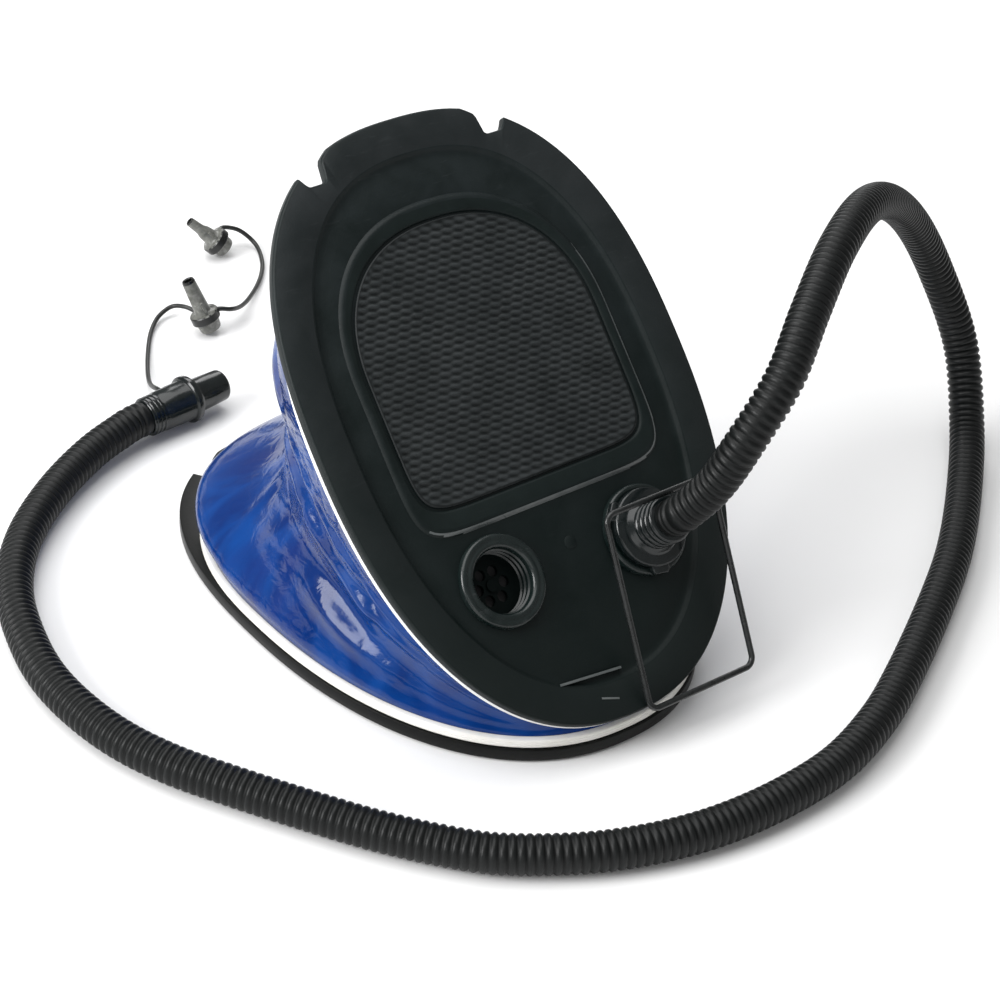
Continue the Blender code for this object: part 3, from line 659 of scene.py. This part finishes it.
hose = {
    "radius": 9.5,
    "startH": 24.3,
    "straight": 9.0,
    "pitch": 4.0,
    "perRib": 6,
    "sides": 26,
    "groove": 1.15,
    "route": (
        (50.0, 16.0, 118.0), (60.0, 8.0, 146.0), (80.0, 10.0, 170.0), (106.0, 25.0, 188.0),
        (144.0, 49.0, 199.0), (200.0, 83.0, 190.0), (262.0, 114.0, 150.0), (304.0, 124.0, 100.0),
        (322.0, 112.0, 52.0), (310.0, 88.0, 18.0), (280.0, 58.0, 9.6), (235.0, 20.0, 9.6),
        (202.0, -3.0, 9.6), (136.0, -43.0, 9.6), (103.0, -60.0, 9.6), (65.0, -73.0, 9.6),
        (30.0, -77.0, 9.6), (-5.0, -76.0, 9.6), (-33.0, -71.0, 9.6), (-60.0, -62.0, 9.6),
        (-82.0, -51.0, 9.6), (-107.0, -34.0, 9.6), (-124.0, -16.0, 9.6), (-141.0, 6.0, 9.6),
        (-156.0, 29.0, 9.6), (-180.0, 69.0, 9.6), (-193.0, 93.0, 9.6), (-203.0, 120.0, 9.6),
        (-208.0, 150.0, 9.6), (-208.0, 178.0, 9.6), (-202.0, 208.0, 9.6), (-189.0, 243.0, 9.6),
        (-166.0, 276.0, 9.7), (-132.0, 305.0, 10.2), (-96.0, 325.0, 11.6),
    ),
    "end": (-58.5, 335.2, 13.3),
    "endDirection": (0.993, 0.115, 0.0),
    "landed": 430.0,  # from here on, the hose lies on the floor and stays there
}
ports = {"outlet": (42.2, 77.0), "intake": (-41.2, 79.8)}  # x and t


# The hose's middle: square out of the cuff, over in an arch, and round on the floor.
def hoseLine():
    start = onTreadle(*ports["outlet"], hose["startH"])
    out = onTreadle(*ports["outlet"], hose["startH"] + hose["straight"])
    end = np.array(hose["end"])
    back = end - hose["straight"] * np.array(hose["endDirection"]) / np.linalg.norm(hose["endDirection"])
    curve = smoothRoute((out, *hose["route"], back), 2.0)
    return evenly(np.vstack([start, curve, end]), hose["pitch"] / hose["perRib"])


def makeHose():
    line = hoseLine()
    travelled = distances(line)
    phase = travelled / hose["pitch"]
    groove = (0.5 + 0.5 * np.cos(2.0 * math.pi * phase)) ** 2.2
    plain = np.minimum(travelled, travelled[-1] - travelled) < 2.0
    groove[plain] = 0.35
    tube = sweptTube(line, hose["radius"] - hose["groove"] * groove, hose["sides"])
    piece = makePiece("hoseRibbed", tube, [finish["hosePlastic"]], sharp=80.0)
    pointValues(piece, "crest", np.repeat(1.0 - groove, hose["sides"]))
    share = np.clip(1.0 - travelled / hose["landed"], 0.0, 1.0)
    bendShares(piece, np.repeat(smoothStep(share), hose["sides"]))
    fitted(piece, "hose")
    return piece, line, travelled[-1]


nozzle = {
    "profile": (
        (6.0, 0.3), (9.7, 0.3), (10.1, 0.7), (10.1, 1.5), (10.7, 1.9), (10.7, 2.9), (10.1, 3.3), (10.1, 4.1),
        (10.7, 4.5), (10.7, 5.5), (10.1, 5.9), (10.1, 6.7), (10.7, 7.1), (10.7, 8.1), (10.3, 8.6),
        (10.4, 9.6), (10.9, 10.3), (11.0, 18.4), (11.2, 19.2), (11.2, 26.6), (11.5, 27.4), (12.6, 27.9),
        (13.1, 28.5), (13.1, 30.8), (12.7, 31.5), (10.6, 32.3), (9.8, 33.2), (9.4, 34.6), (9.1, 42.0),
        (8.7, 51.4), (8.5, 52.4), (8.0, 53.0), (7.1, 53.0), (6.6, 52.5), (6.4, 51.0), (6.2, 30.0),
        (6.0, 12.0),
    ),
}


def makeNozzle():
    shape = turned(along(hose["end"], hose["endDirection"]), nozzle["profile"], (0.0, 0.0), 64)
    piece = makePiece("nozzleBody", shape, [finish["cuffPlastic"]], sharp=38.0)
    fitted(piece, "nozzle", "base")
    return piece


adapters = {
    "collar": (-2.4, 2.3),  # heights between which an adapter is dark
    # The dark tip is a painted shade for the shadow in the bore.
    "paintedShadeTip": 2.2,  # how much of its tip is dark
    "wide": {
        "spot": (27.0, 408.7, 11.05),
        "direction": (-0.303, 0.277, 0.912),
        "profile": (
            (2.1, -9.0), (5.4, -9.0), (5.8, -8.7), (6.1, -8.0), (6.4, -5.6), (6.7, -3.2), (7.9, -2.7),
            (8.4, -2.2), (8.4, 2.0), (7.9, 2.6), (6.0, 2.9), (5.0, 3.4), (4.6, 4.6), (4.4, 8.0),
            (4.1, 16.0), (3.8, 22.8), (3.7, 23.4), (3.4, 24.2), (2.8, 24.2), (2.4, 23.8), (2.1, 21.0),
        ),
    },
    "narrow": {
        "spot": (78.5, 477.2, 10.25),
        "direction": (-0.668, 0.341, 0.661),
        "profile": (
            (1.6, -8.0), (5.4, -8.0), (5.8, -7.7), (6.1, -7.0), (6.4, -4.4), (6.7, -3.2), (7.9, -2.7),
            (8.4, -2.2), (8.4, 2.0), (7.9, 2.6), (6.2, 2.9), (5.4, 3.4), (4.6, 5.2), (4.3, 8.4), (4.0, 10.0),
            (3.4, 11.5), (3.1, 12.4), (2.9, 16.5), (2.7, 20.6), (2.4, 21.0), (1.8, 21.0), (1.6, 20.0),
        ),
    },
}


# A thin fin that stands out from an adapter's tube.
def finShape(place, angle, reach, low, high, thick=0.7):
    u = np.array([2.5, reach, reach - 0.7, 2.5])
    w = np.array([low, low, high, high])
    loops = []
    for side in (-thick, thick):
        x = u * math.cos(angle) - side * math.sin(angle)
        y = u * math.sin(angle) + side * math.cos(angle)
        loops.append(place(x, y, w))
    return loft(loops, "caps")


# A stepped hollow plug with a dark collar, a pale skirt and tube, two fins, and a tip painted dark as shade
# from its bore.
def makeAdapter(kind, node):
    settings = adapters[kind]
    place = along(settings["spot"], settings["direction"])
    profile = settings["profile"]
    shape = turned(place, profile, (0.0, 0.0), 40)
    heights = np.array([height for _, height in profile])
    top = max(heights)
    fins = [finShape(place, angle, 7.0, 1.5, 0.42 * top) for angle in (0.6, 0.6 + math.pi)]
    piece = makePiece(kind + "AdapterBody", joined([shape, *fins]),
                      [finish["adapterGrey"], finish["adapterCollar"]], sharp=38.0)
    ahead = np.array(settings["direction"]) / np.linalg.norm(settings["direction"])
    centres = np.empty(len(piece.data.polygons) * 3)
    piece.data.polygons.foreach_get("center", centres)
    start = toRow(np.array(settings["spot"]))
    height = (centres.reshape(-1, 3) - start) @ ahead * 1000.0
    low, high = adapters["collar"]
    # The collar is dark plastic; the dark tip is painted shade.
    dark = ((height > low) & (height < high)) | (height > top - adapters["paintedShadeTip"])
    piece.data.polygons.foreach_set("material_index", dark.astype(np.int32))
    fitted(piece, node, "base")
    return piece


straps = {
    "radius": 1.3,
    "long": ((-36.0, 349.5, 13.3), (-36.6, 356.0, 12.4), (-31.0, 374.0, 5.0), (-15.0, 402.0, 1.9),
             (1.9, 424.8, 1.9), (12.2, 432.9, 3.6), (20.5, 433.3, 6.4), (24.7, 426.1, 8.6),
             (27.6, 417.7, 8.5), (27.3, 413.6, 9.7)),
    "short": ((31.6, 407.0, 14.0), (35.2, 405.8, 14.6), (40.7, 404.0, 13.5), (52.3, 410.3, 8.5),
              (72.8, 427.8, 3.0), (87.4, 442.4, 1.8), (96.8, 455.5, 1.8), (102.6, 470.7, 3.4),
              (100.2, 476.9, 7.5),
              (94.1, 479.5, 12.5), (85.4, 481.6, 14.9), (82.0, 480.2, 13.6)),
}


def makeStrap(kind, node):
    line = smoothRoute(straps[kind], 1.2)
    travelled = distances(line)
    total = travelled[-1]
    fromEnd = np.minimum(travelled, total - travelled)
    radii = straps["radius"] * (1.0 + 0.25 * np.exp(-((fromEnd / 3.0) ** 2)))
    piece = makePiece(kind + "StrapCord", sweptTube(line, radii, 14), [finish["strapGrey"]], sharp=60.0)
    fitted(piece, node, "base")
    return piece, line, total


def makeCords():
    hosePiece, hosePath, hoseLong = makeHose()
    nozzlePiece = makeNozzle()
    wideAdapter = makeAdapter("wide", "adapter_wide")
    narrowAdapter = makeAdapter("narrow", "adapter_narrow")
    toRow(hosePath[0])
    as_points(toRow(hosePath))
    for kind, node, carried in (("long", "strap_long", wideAdapter), ("short", "strap_short", narrowAdapter)):
        strap, path, length = makeStrap(kind, node)
        toRow(path[0])
        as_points(toRow(path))
    print("hose:", round(hoseLong), "mm")


makeCords()


def toolRod(place, centre, radius, low, high, count=32):
    return turned(place, ((radius, low), (radius, high)), centre, count, "caps")


# The base plate with its rounded rim, wells for the feet and holes for the screws.
def makeBase():
    angles, radii = outline()
    inner = eggRadius(angles, 8.6, 118.0, 2.4)
    rim = ((0.9, 1.0), (0.35, 1.2), (0.0, 1.9), (0.0, 6.6), (0.25, 7.25), (0.8, 7.5))
    loops = [edgeLoop(onBase, angles, radii - inset, height) for inset, height in rim]
    loops.append(edgeLoop(onBase, angles, inner, 7.5))
    loops.append(edgeLoop(onBase, angles, inner - 0.1, 3.5))
    piece = makePiece("baseShell", loft(loops, "caps"), [finish["basePlastic"]])
    tools = []
    for x in (-1, 1):
        for spot in ((68.0 * x, 95.0), (58.0 * x, 235.0)):
            tools.append(("DIFFERENCE", toolRod(onBase, spot, 7.4, 0.0, 2.5)))
    turn = np.radians([28.0, 152.0, 218.0, 322.0])
    reach = innerRadius(turn, 7.0)
    for x, y in zip(reach * np.cos(turn), plates["middle"] + reach * np.sin(turn), strict=True):
        tools.append(("DIFFERENCE", toolRod(onBase, (x, y), 3.2, 0.0, 3.2, 24)))
    carved(piece, tools)
    fitted(piece, "base_tray", "base")


# A hoop that follows the plates' edge, from (inset, height) pairs.
def edgeBand(name, node, body, place, profile, material):
    angles = evenAngles()
    loops = [edgeLoop(place, angles, innerRadius(angles, inset), height) for inset, height in profile]
    piece = makePiece(name, loft(loops), [material], sharp=50.0)
    fitted(piece, node, body)


def makeBands():
    lower = ((2.2, 7.8), (1.5, 8.0), (1.2, 8.5), (1.2, 9.2), (1.5, 9.45), (1.2, 9.7), (1.2, 10.6),
             (1.5, 10.85), (1.2, 11.1), (1.25, 11.7), (1.5, 12.2), (2.1, 12.5), (4.4, 12.5), (4.4, 7.8))
    edgeBand("lowerBand", "lower_binding", "base", onBase, lower, finish["whiteBand"])
    upper = ((1.4, -8.5), (0.7, -8.3), (0.2, -7.8), (0.0, -7.1), (0.2, -6.4), (0.7, -5.9), (1.4, -5.7),
             (4.4, -5.7), (4.4, -8.5))
    edgeBand("upperPiping", "upper_binding", "treadle", onTreadle, upper, finish["whitePiping"])


makeBase()
makeBands()
print("base and bands: ready")


gripArea = {"near": 121.0, "far": 246.5, "wide": 64.5, "middle": 183.0, "farPower": 2.3, "nearPower": 9.0}
gripBorder = {**gripArea, "near": 115.8, "far": 249.5}  # the outer edge of the raised D


# The edge of a D shape, moved out by an amount, from its middle.
def gripRadius(angles, out, area=gripArea):
    cosine, sine = np.abs(np.cos(angles)), np.sin(angles)
    power = np.where(sine > 0, area["farPower"], area["nearPower"])
    reach = np.where(sine > 0, area["far"] - area["middle"], area["middle"] - area["near"]) + out
    wide = (cosine / (area["wide"] + out)) ** power
    return (wide + (np.abs(sine) / reach) ** power) ** (-1.0 / power)


def gripLoop(out, height, area=gripArea, count=240):
    angles = np.linspace(-math.pi / 2.0, 1.5 * math.pi, count, endpoint=False)
    radii = gripRadius(angles, out, area)
    return onTreadle(radii * np.cos(angles), gripArea["middle"] + radii * np.sin(angles), height)


# A low rounded ridge that stands on the treadle along a line of (x, t) points.
def lowRidge(points, height, width=1.8):
    line = np.array(points, float)
    ahead = np.gradient(line, axis=0)
    ahead /= np.linalg.norm(ahead, axis=1, keepdims=True)
    side = np.column_stack([-ahead[:, 1], ahead[:, 0]])
    loops = []
    section = ((-0.5, -3.0), (-0.5, -2.0), (-0.32, height - 0.12), (0.0, height), (0.32, height - 0.12),
               (0.5, -2.0), (0.5, -3.0))
    for k in range(len(line)):
        spots = np.array([line[k] + side[k] * width * across for across, _ in section])
        loops.append(onTreadle(spots[:, 0], spots[:, 1], np.array([h for _, h in section])))
    return loft(loops, "caps")


treadlePaint = ("fieldPlastic", "flangePlastic", "edgePaintedHighlight", "zonePlastic")


# The upper plate: a flange, a shallow step down to the field, and the raised D border.
def makeTreadle():
    angles, radii = outline()
    edge = ((0.9, -5.5), (0.3, -5.3), (0.0, -4.6), (0.0, -1.4), (0.15, -0.8), (0.55, -0.3), (1.3, 0.0))
    loops = [edgeLoop(onTreadle, angles, radii - inset, height) for inset, height in edge]
    field = ((17.0, 0.0), (17.8, -0.35), (18.8, -1.4), (19.8, -1.95), (22.5, -2.0), (26.0, -1.6),
             (30.0, -1.3), (35.0, -1.4), (41.0, -1.8), (47.0, -2.0))
    for inset, height in field:
        loops.append(edgeLoop(onTreadle, angles, eggRadius(angles, inset, 140.0, 2.4), height))
    piece = makePiece("treadleShell", loft(loops, "caps"), [finish[look] for look in treadlePaint])
    outside = ((9.9, -2.8), (9.7, -2.1), (9.0, -1.4), (8.3, -0.75), (7.6, -0.35), (6.8, -0.2), (5.9, -0.25))
    inside = ((4.2, -0.5), (3.5, -0.65), (3.0, -1.1), (2.7, -1.9), (2.5, -2.8))
    rise = [gripLoop(out, height, gripBorder) for out, height in outside]
    tools = [("UNION", loft(rise + [gripLoop(out, height) for out, height in inside]))]
    tools.append(("UNION", lowRidge(np.linspace((-34.0, 25.6), (0.5, 22.2), 6), 0.2)))
    tools.append(("UNION", lowRidge(np.linspace((-16.0, 12.6), (-7.0, 9.4), 4), 0.3, 1.4)))
    disc = turned(onTreadle, ((3.2, -3.0), (3.2, -1.75), (2.6, -1.5)), (2.3, 84.7), 24, "caps")
    tools.append(("UNION", disc))
    for spot in ports.values():
        tools.append(("DIFFERENCE", toolRod(onTreadle, spot, 17.3, -9.0, 3.0, 64)))
    carved(piece, tools, sharp=30.0)
    paintTreadle(piece)
    fitted(piece, "treadle", "treadle")


# Materials by place: the flange, the D's outer slope where it faces near right, the moulded
# line near the hinge, and the zone inside the D; the slope and the line get a pale painted
# highlight. beyond is how far a face lies outside the border's line, in millimetres.
def paintTreadle(piece):
    count = len(piece.data.polygons)
    centres, normals = np.empty(count * 3), np.empty(count * 3)
    piece.data.polygons.foreach_get("center", centres)
    piece.data.polygons.foreach_get("normal", normals)
    out = np.array((0.0, -math.sin(plates["tilt"]), math.cos(plates["tilt"])))
    ahead = np.array((0.0, math.cos(plates["tilt"]), math.sin(plates["tilt"])))
    place = (centres.reshape(-1, 3) - toRow(onTreadle(0.0, 0.0, 0.0))) * 1000.0
    x, t, height = place[:, 0], place @ ahead, place @ out
    normals = normals.reshape(-1, 3)
    facing = normals @ out
    turn = np.arctan2(t - gripArea["middle"], x)
    beyond = np.hypot(x, t - gripArea["middle"]) - gripRadius(turn, 0.0, gripBorder)
    field, flange, edge, zone = range(len(treadlePaint))
    slots = np.full(count, field, np.int32)
    slots[(facing > 0.97) & (height > -0.2) & (beyond > 12.0)] = flange
    # Painted highlight: the lit part of the D's outer slope and the moulded line near the hinge take the pale
    # colour.
    lit = 0.5 * normals[:, 0] - 0.85 * (normals @ ahead) > 0.10
    slope = (facing < 0.95) & (facing > 0.05)
    slots[slope & lit & (height > -2.2) & (beyond > 5.0) & (beyond < 11.0)] = edge
    slots[(facing > 0.05) & (height > 0.08) & (np.hypot(x + 17.0, t - 24.0) < 20.0)] = edge
    slots[(facing > -0.2) & (beyond < 5.6) & (height > -1.0)] = zone
    piece.data.polygons.foreach_set("material_index", slots)


gripMesh = {
    "half": 108,  # cells from the middle to the edge
    "waveOne": (0.1538, 0.2075),  # waves a millimetre across and along the pad
    "waveTwo": (0.0024, 0.2979),
    "depth": 1.0,
    # rimCrest: where the pad's rim sits between the painted shade and the painted highlight.
    "rimCrest": 0.3,  # how pale the pad's rim is, from pit to crest
}


# Squares of cells grown into the D shape, with two crossing waves as the moulded mesh.
def makeGripPad():
    half = gripMesh["half"]
    steps = np.arange(-half, half + 1)
    across, ahead = np.meshgrid(steps, steps, indexing="xy")
    ring = np.maximum(np.abs(across), np.abs(ahead)) / half
    turn = np.arctan2(ahead, across)
    radius = gripRadius(turn, 0.9) * ring
    x, t = radius * np.cos(turn), gripArea["middle"] + radius * np.sin(turn)
    one = np.cos(2.0 * math.pi * (gripMesh["waveOne"][0] * x + gripMesh["waveOne"][1] * t))
    two = np.cos(2.0 * math.pi * (gripMesh["waveTwo"][0] * x + gripMesh["waveTwo"][1] * t))
    wave = np.tanh(0.75 * (one + two)) / math.tanh(1.5)
    fade = np.clip((1.0 - ring) * 22.0, 0.0, 1.0)
    height = -0.35 - gripMesh["depth"] * 0.5 * (1.0 - wave) * fade
    top = onTreadle(x, t, height).reshape(-1, 3)
    size = 2 * half + 1
    faces = gridFaces(size, size, closeColumns=False)
    grid = np.arange(size * size).reshape(size, size)
    border = np.concatenate([grid[0, :-1], grid[:-1, -1], grid[-1, :0:-1], grid[:0:-1, 0]])
    edgeTurn = turn.reshape(-1)[border]
    points = [top]
    last, start = border, len(top)
    for out, level in ((1.35, -0.55), (1.6, -1.0), (1.6, -1.35), (1.2, -1.7)):
        radii = gripRadius(edgeTurn, out)
        y = gripArea["middle"] + radii * np.sin(edgeTurn)
        points.append(onTreadle(radii * np.cos(edgeTurn), y, level))
        ringNow = np.arange(start, start + len(border))
        quads = np.stack([last, ringNow, np.roll(ringNow, -1), np.roll(last, -1)], axis=-1)
        faces += quads.tolist()
        last, start = ringNow, start + len(border)
    faces.append(last.tolist())
    piece = makePiece("gripPad", (np.vstack(points), faces), [finish["padPlastic"]], sharp=75.0)
    # crest sets the painted light and shade: 1 on the wave's crest, 0 in its hollows and at the outer cells.
    crest = 0.5 + 0.5 * np.where(fade > 0.0, wave, -1.0)
    rim = np.full(len(piece.data.vertices) - crest.size, gripMesh["rimCrest"])
    pointValues(piece, "crest", np.concatenate([crest.ravel(), rim]))
    fitted(piece, "tread_pad", "treadle")


sockets = {
    "outer": ((12.2, -16.0), (16.6, -16.0), (17.0, -15.6), (17.0, -1.7), (21.9, -1.7), (22.3, -1.3),
              (22.3, 0.9), (22.1, 1.5), (21.6, 2.1), (20.9, 2.4), (19.9, 2.4), (19.3, 2.1), (18.6, 2.1),
              (18.0, 2.4),
              (17.2, 2.4), (16.4, 2.1), (15.7, 1.3), (15.5, 0.8)),
    "plain": ((15.5, -13.0), (12.2, -13.0)),
    "ribs": (-2.6, -6.4, -10.0),
}


# A moulded socket with a double rim, and thread ribs inside where it is open.
def makeSocket(name, node, spot, ribs):
    profile = list(sockets["outer"])
    for level in ribs:
        profile += [(15.5, level + 0.9), (14.7, level + 0.35), (14.7, level - 0.35), (15.5, level - 0.9)]
    profile += list(sockets["plain"])
    shape = turned(onTreadle, profile, spot, 96)
    piece = makePiece(name, shape, [finish["socketPlastic"]], sharp=36.0)
    fitted(piece, node, "treadle")


# The hose's cuff: a spigot in the socket, a collar with three lugs, and a sleeve
# with the hose's own ribs, so the two read as one.
def makeCuff():
    level = np.arange(9.6, 23.8, 0.5)
    groove = (0.5 + 0.5 * np.cos(2.0 * math.pi * (level - hose["startH"]) / hose["pitch"])) ** 2.2
    sleeve = list(zip(11.6 - 1.2 * groove, level, strict=True))
    profile = [(7.2, -5.0), (14.7, -5.0), (15.1, -4.6), (15.1, 2.8), (19.0, 2.8), (19.4, 3.2), (19.4, 6.2),
               (19.1, 6.9), (18.4, 7.4), (14.9, 7.4), (13.9, 7.7), (13.0, 8.5), *sleeve, (10.6, 24.0),
               (7.2, 24.0)]
    piece = makePiece("hoseCuffBody", turned(onTreadle, profile, ports["outlet"], 96),
                      [finish["cuffPlastic"]], sharp=50.0)
    tools = []
    for angle in (20.0, 140.0, 260.0):
        turn = math.radians(angle)
        loops = []
        for grow, level in ((-0.4, 2.9), (0.0, 3.3), (0.0, 5.8), (-0.4, 6.2)):
            r = np.array([17.0, 21.6 + grow, 22.6 + grow, 22.6 + grow, 21.6 + grow, 17.0])
            s = np.array([-5.0 - grow, -4.6 - grow, -3.4 - grow, 3.4 + grow, 4.6 + grow, 5.0 + grow])
            x = ports["outlet"][0] + r * math.cos(turn) - s * math.sin(turn)
            t = ports["outlet"][1] + r * math.sin(turn) + s * math.cos(turn)
            loops.append(onTreadle(x, t, level))
        tools.append(("UNION", loft(loops, "caps")))
    carved(piece, tools, sharp=50.0)
    fitted(piece, "hose_cuff", "treadle")


makeTreadle()
makeGripPad()
makeSocket("intakeRim", "intake_socket", ports["intake"], sockets["ribs"])
makeSocket("outletRim", "outlet_socket", ports["outlet"], (-8.0,))
makeCuff()
print("treadle, pad, sockets and cuff: ready")


bellows = {
    "columns": 560,
    "rows": 64,
    "inset": 4.0,
    "low": 12.8,
    "high": -8.5,
    "fold": 0.11,
    "skin": 1.0,
    "seed": 11,
    "folds": (  # level up the skin, sway, width, lift in mm, waves round
        (0.31, 0.045, 0.085, 3.6, (4, 7, 11)),
        (0.60, 0.050, 0.060, 3.2, (5, 8, 13)),
        (0.79, 0.040, 0.045, 1.9, (6, 9, 14)),
    ),
    "creases": 90,
    "sideAngle": 122.0,  # the skin is slackest here, in degrees round from the right
    "sideWidth": 0.74,
    "bulge": {"level": 0.06, "wide": 0.09, "round": 1.2, "side": 6.5},
    "waist": {"start": 0.03, "rise": 0.24, "fall": 0.70, "power": 1.6, "round": 1.0, "side": 27.0},
}


def wrapped(angles):
    return (angles + math.pi) % (2.0 * math.pi) - math.pi


# A slow wave round the skin: a few sines of whole turns with their own starts, 1 at most.
def slowWave(angles, draw, turns):
    total = np.zeros_like(angles)
    for count in turns:
        total += np.sin(count * angles + draw.uniform(0.0, 6.28))
    return total / len(turns)


# How far the skin stands out, in millimetres. The long folds lean it in across their lines:
# minus u times the bell of u, with u the distance from the line in widths. A bulge low down
# and a waist above it are deepest at the slack side: a bell, and a smooth step that falls
# away to the top. Creases are bells across and along their own slant.
def foldRelief(angles, shares, radius, gap):
    draw = np.random.default_rng(bellows["seed"])
    relief = np.zeros(np.broadcast(angles, shares).shape)
    for level, sway, wide, lift, turns in bellows["folds"]:
        line = level + sway * slowWave(angles, draw, (2, 3, 5))
        size = lift * (0.62 + 0.55 * slowWave(angles, draw, turns))
        u = (shares - line) / wide
        relief = relief - size * u * np.exp(0.5 - u * u) * 1.41
    side = wrapped(angles - math.radians(bellows["sideAngle"])) / bellows["sideWidth"]
    side = np.exp(-(side**2))
    bulge, waist = bellows["bulge"], bellows["waist"]
    swell = np.exp(-(((shares - bulge["level"]) / bulge["wide"]) ** 2))
    drawnIn = smoothStep(np.clip((shares - waist["start"]) / waist["rise"], 0.0, 1.0))
    drawnIn = drawnIn * np.clip((1.0 - shares) / waist["fall"], 0.0, 1.0) ** waist["power"]
    relief = relief + swell * (bulge["round"] + bulge["side"] * side)
    relief = relief - drawnIn * (waist["round"] + waist["side"] * side)
    for _ in range(bellows["creases"]):
        angle, share = draw.uniform(-1.57, 4.71), draw.uniform(0.22, 0.96)
        slant, long = draw.uniform(0.35, 1.3), draw.uniform(10.0, 34.0)
        wide, lift = draw.uniform(2.4, 5.0), draw.uniform(-1.3, 0.9)
        u = radius * wrapped(angles - angle)
        v = gap * (shares - share)
        ahead = u * math.cos(slant) - v * math.sin(slant)
        across = v * math.cos(slant) + u * math.sin(slant)
        relief += lift * np.exp(-((across / wide) ** 2) - (ahead / long) ** 2)
    return relief


# The skin turns about the hinge from the base to the treadle, drawn in halfway up.
def makeBellows():
    angles = np.linspace(-0.5 * math.pi, 1.5 * math.pi, bellows["columns"], endpoint=False)[None, :]
    shares = np.linspace(0.0, 1.0, bellows["rows"])[:, None]
    radius = innerRadius(angles, bellows["inset"])
    gap = np.maximum(plates["middle"] + radius * np.sin(angles) - hingeY, 0.0) * plates["tilt"]
    middle = np.sin(math.pi * shares)
    held = np.clip(np.minimum(shares / 0.06, (1.0 - shares) / 0.10), 0.0, 1.0)
    held = smoothStep(held) * np.clip(gap / 60.0, 0.0, 1.0)
    relief = foldRelief(angles, shares, radius, gap) * held
    pulled = radius - bellows["fold"] * gap * middle**2 + relief
    reach = plates["middle"] + pulled * np.sin(angles) - hingeY
    turn = shares * plates["tilt"]
    y, z = aboutHinge(reach, levelAt(bellows, shares), turn)
    points = onBase(pulled * np.cos(angles), y, z)
    rows, columns = points.shape[:2]
    shape = (points.reshape(-1, 3), gridFaces(rows, columns))
    piece = makePiece("bellowsSkin", shape, [finish["blueVinyl"]], sharp=70.0, outward=False)
    place = piece.data.attributes.new("skinPlace", "FLOAT_VECTOR", "POINT")
    flat = (1.4 * np.cos(angles), 2.0 * np.sin(angles), shares * gap / 80.0)
    flat = np.stack(np.broadcast_arrays(*flat), axis=-1)
    place.data.foreach_set("vector", flat.astype(np.float32).ravel())
    wall = piece.modifiers.new("wall", "SOLIDIFY")
    wall.thickness = bellows["skin"] * 0.001
    wall.offset = -1.0
    bendShares(piece, np.broadcast_to(shares, (rows, columns)).ravel())
    fitted(piece, "bellows")


makeBellows()


spring = {"reach": 120.0, "radius": 26.0, "wire": 1.6, "turns": 6.0, "low": 7.9, "high": -9.9, "perTurn": 40}


# A coil whose middle line turns about the hinge, with flat ends in the two seats.
def makeSpring():
    share = np.linspace(0.0, 1.0, int(spring["turns"] * spring["perTurn"]) + 1)
    coil = share * spring["turns"] * 2.0 * math.pi
    rise = np.clip((share - 0.09) / 0.82, 0.0, 1.0)
    turn = plates["tilt"] * rise
    reach = spring["reach"] + spring["radius"] * np.sin(coil)
    y, z = aboutHinge(reach, levelAt(spring, rise), turn)
    line = onBase(spring["radius"] * np.cos(coil), y, z)
    sides = 12
    tube = sweptTube(line, np.full(len(line), spring["wire"]), sides)
    piece = makePiece("springCoil", tube, [finish["zincSteel"]], sharp=60.0)
    bendShares(piece, np.repeat(rise, sides))
    fitted(piece, "spring")


ringShape = {
    "left": 5.6,
    "right": 69.4,
    "foot": (-2.0, 1.5),  # t and h of the bar at the hinge, and of the bar over the cuff
    "head": (89.1, 28.3),
    "corner": 5.0,
    "wire": 1.5,
}


# Four straight bars of wire with rounded corners, lying across the cuff.
def makeRing():
    foot, head = np.array(ringShape["foot"]), np.array(ringShape["head"])
    long = np.linalg.norm(head - foot)
    slope = (head - foot) / long
    corner = ringShape["corner"]
    left, right, far = ringShape["left"] + corner, ringShape["right"] - corner, long - corner
    spots = ((left, corner, 180.0), (right, corner, 270.0), (right, far, 0.0), (left, far, 90.0))
    line = []
    for x, reach, start in spots:
        turn = np.radians(start + np.linspace(0.0, 90.0, 13))
        place = foot[None, :] + slope[None, :] * (reach + corner * np.sin(turn))[:, None]
        line.append(onTreadle(x + corner * np.cos(turn), place[:, 0], place[:, 1]))
    line = np.vstack(line)
    tube = sweptTube(line, np.full(len(line), ringShape["wire"]), 16, closed=True)
    piece = makePiece("wireRing", tube, [finish["coatedWire"]], sharp=60.0)
    fitted(piece, "closing_ring", "closing_ring")


makeSpring()
makeRing()

keptNodes = {
    "footRubber": ("foot_near_left", "foot_near_right", "foot_far_left", "foot_far_right", "outlet_disc",
                   "intake_disc"),
    "zincSteel": ("screw_right_far", "screw_left_far", "screw_left_near", "screw_right_near", "hinge_pin",
                  "lower_hinge_leaf", "upper_hinge_leaf"),
    # The valve seats and pins are near black as painted shade.
    "valvePaintedShade": ("outlet_seat", "intake_seat", "outlet_pin", "intake_pin"),
    "basePlastic": ("lower_clamp_ring", "upper_clamp_ring", "lower_spring_seat", "upper_spring_seat"),
}
for look, names in keptNodes.items():
    for name in names:
        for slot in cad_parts[name].material_slots:
            slot.material = finish[look]
print("spring, ring and inner parts: ready")
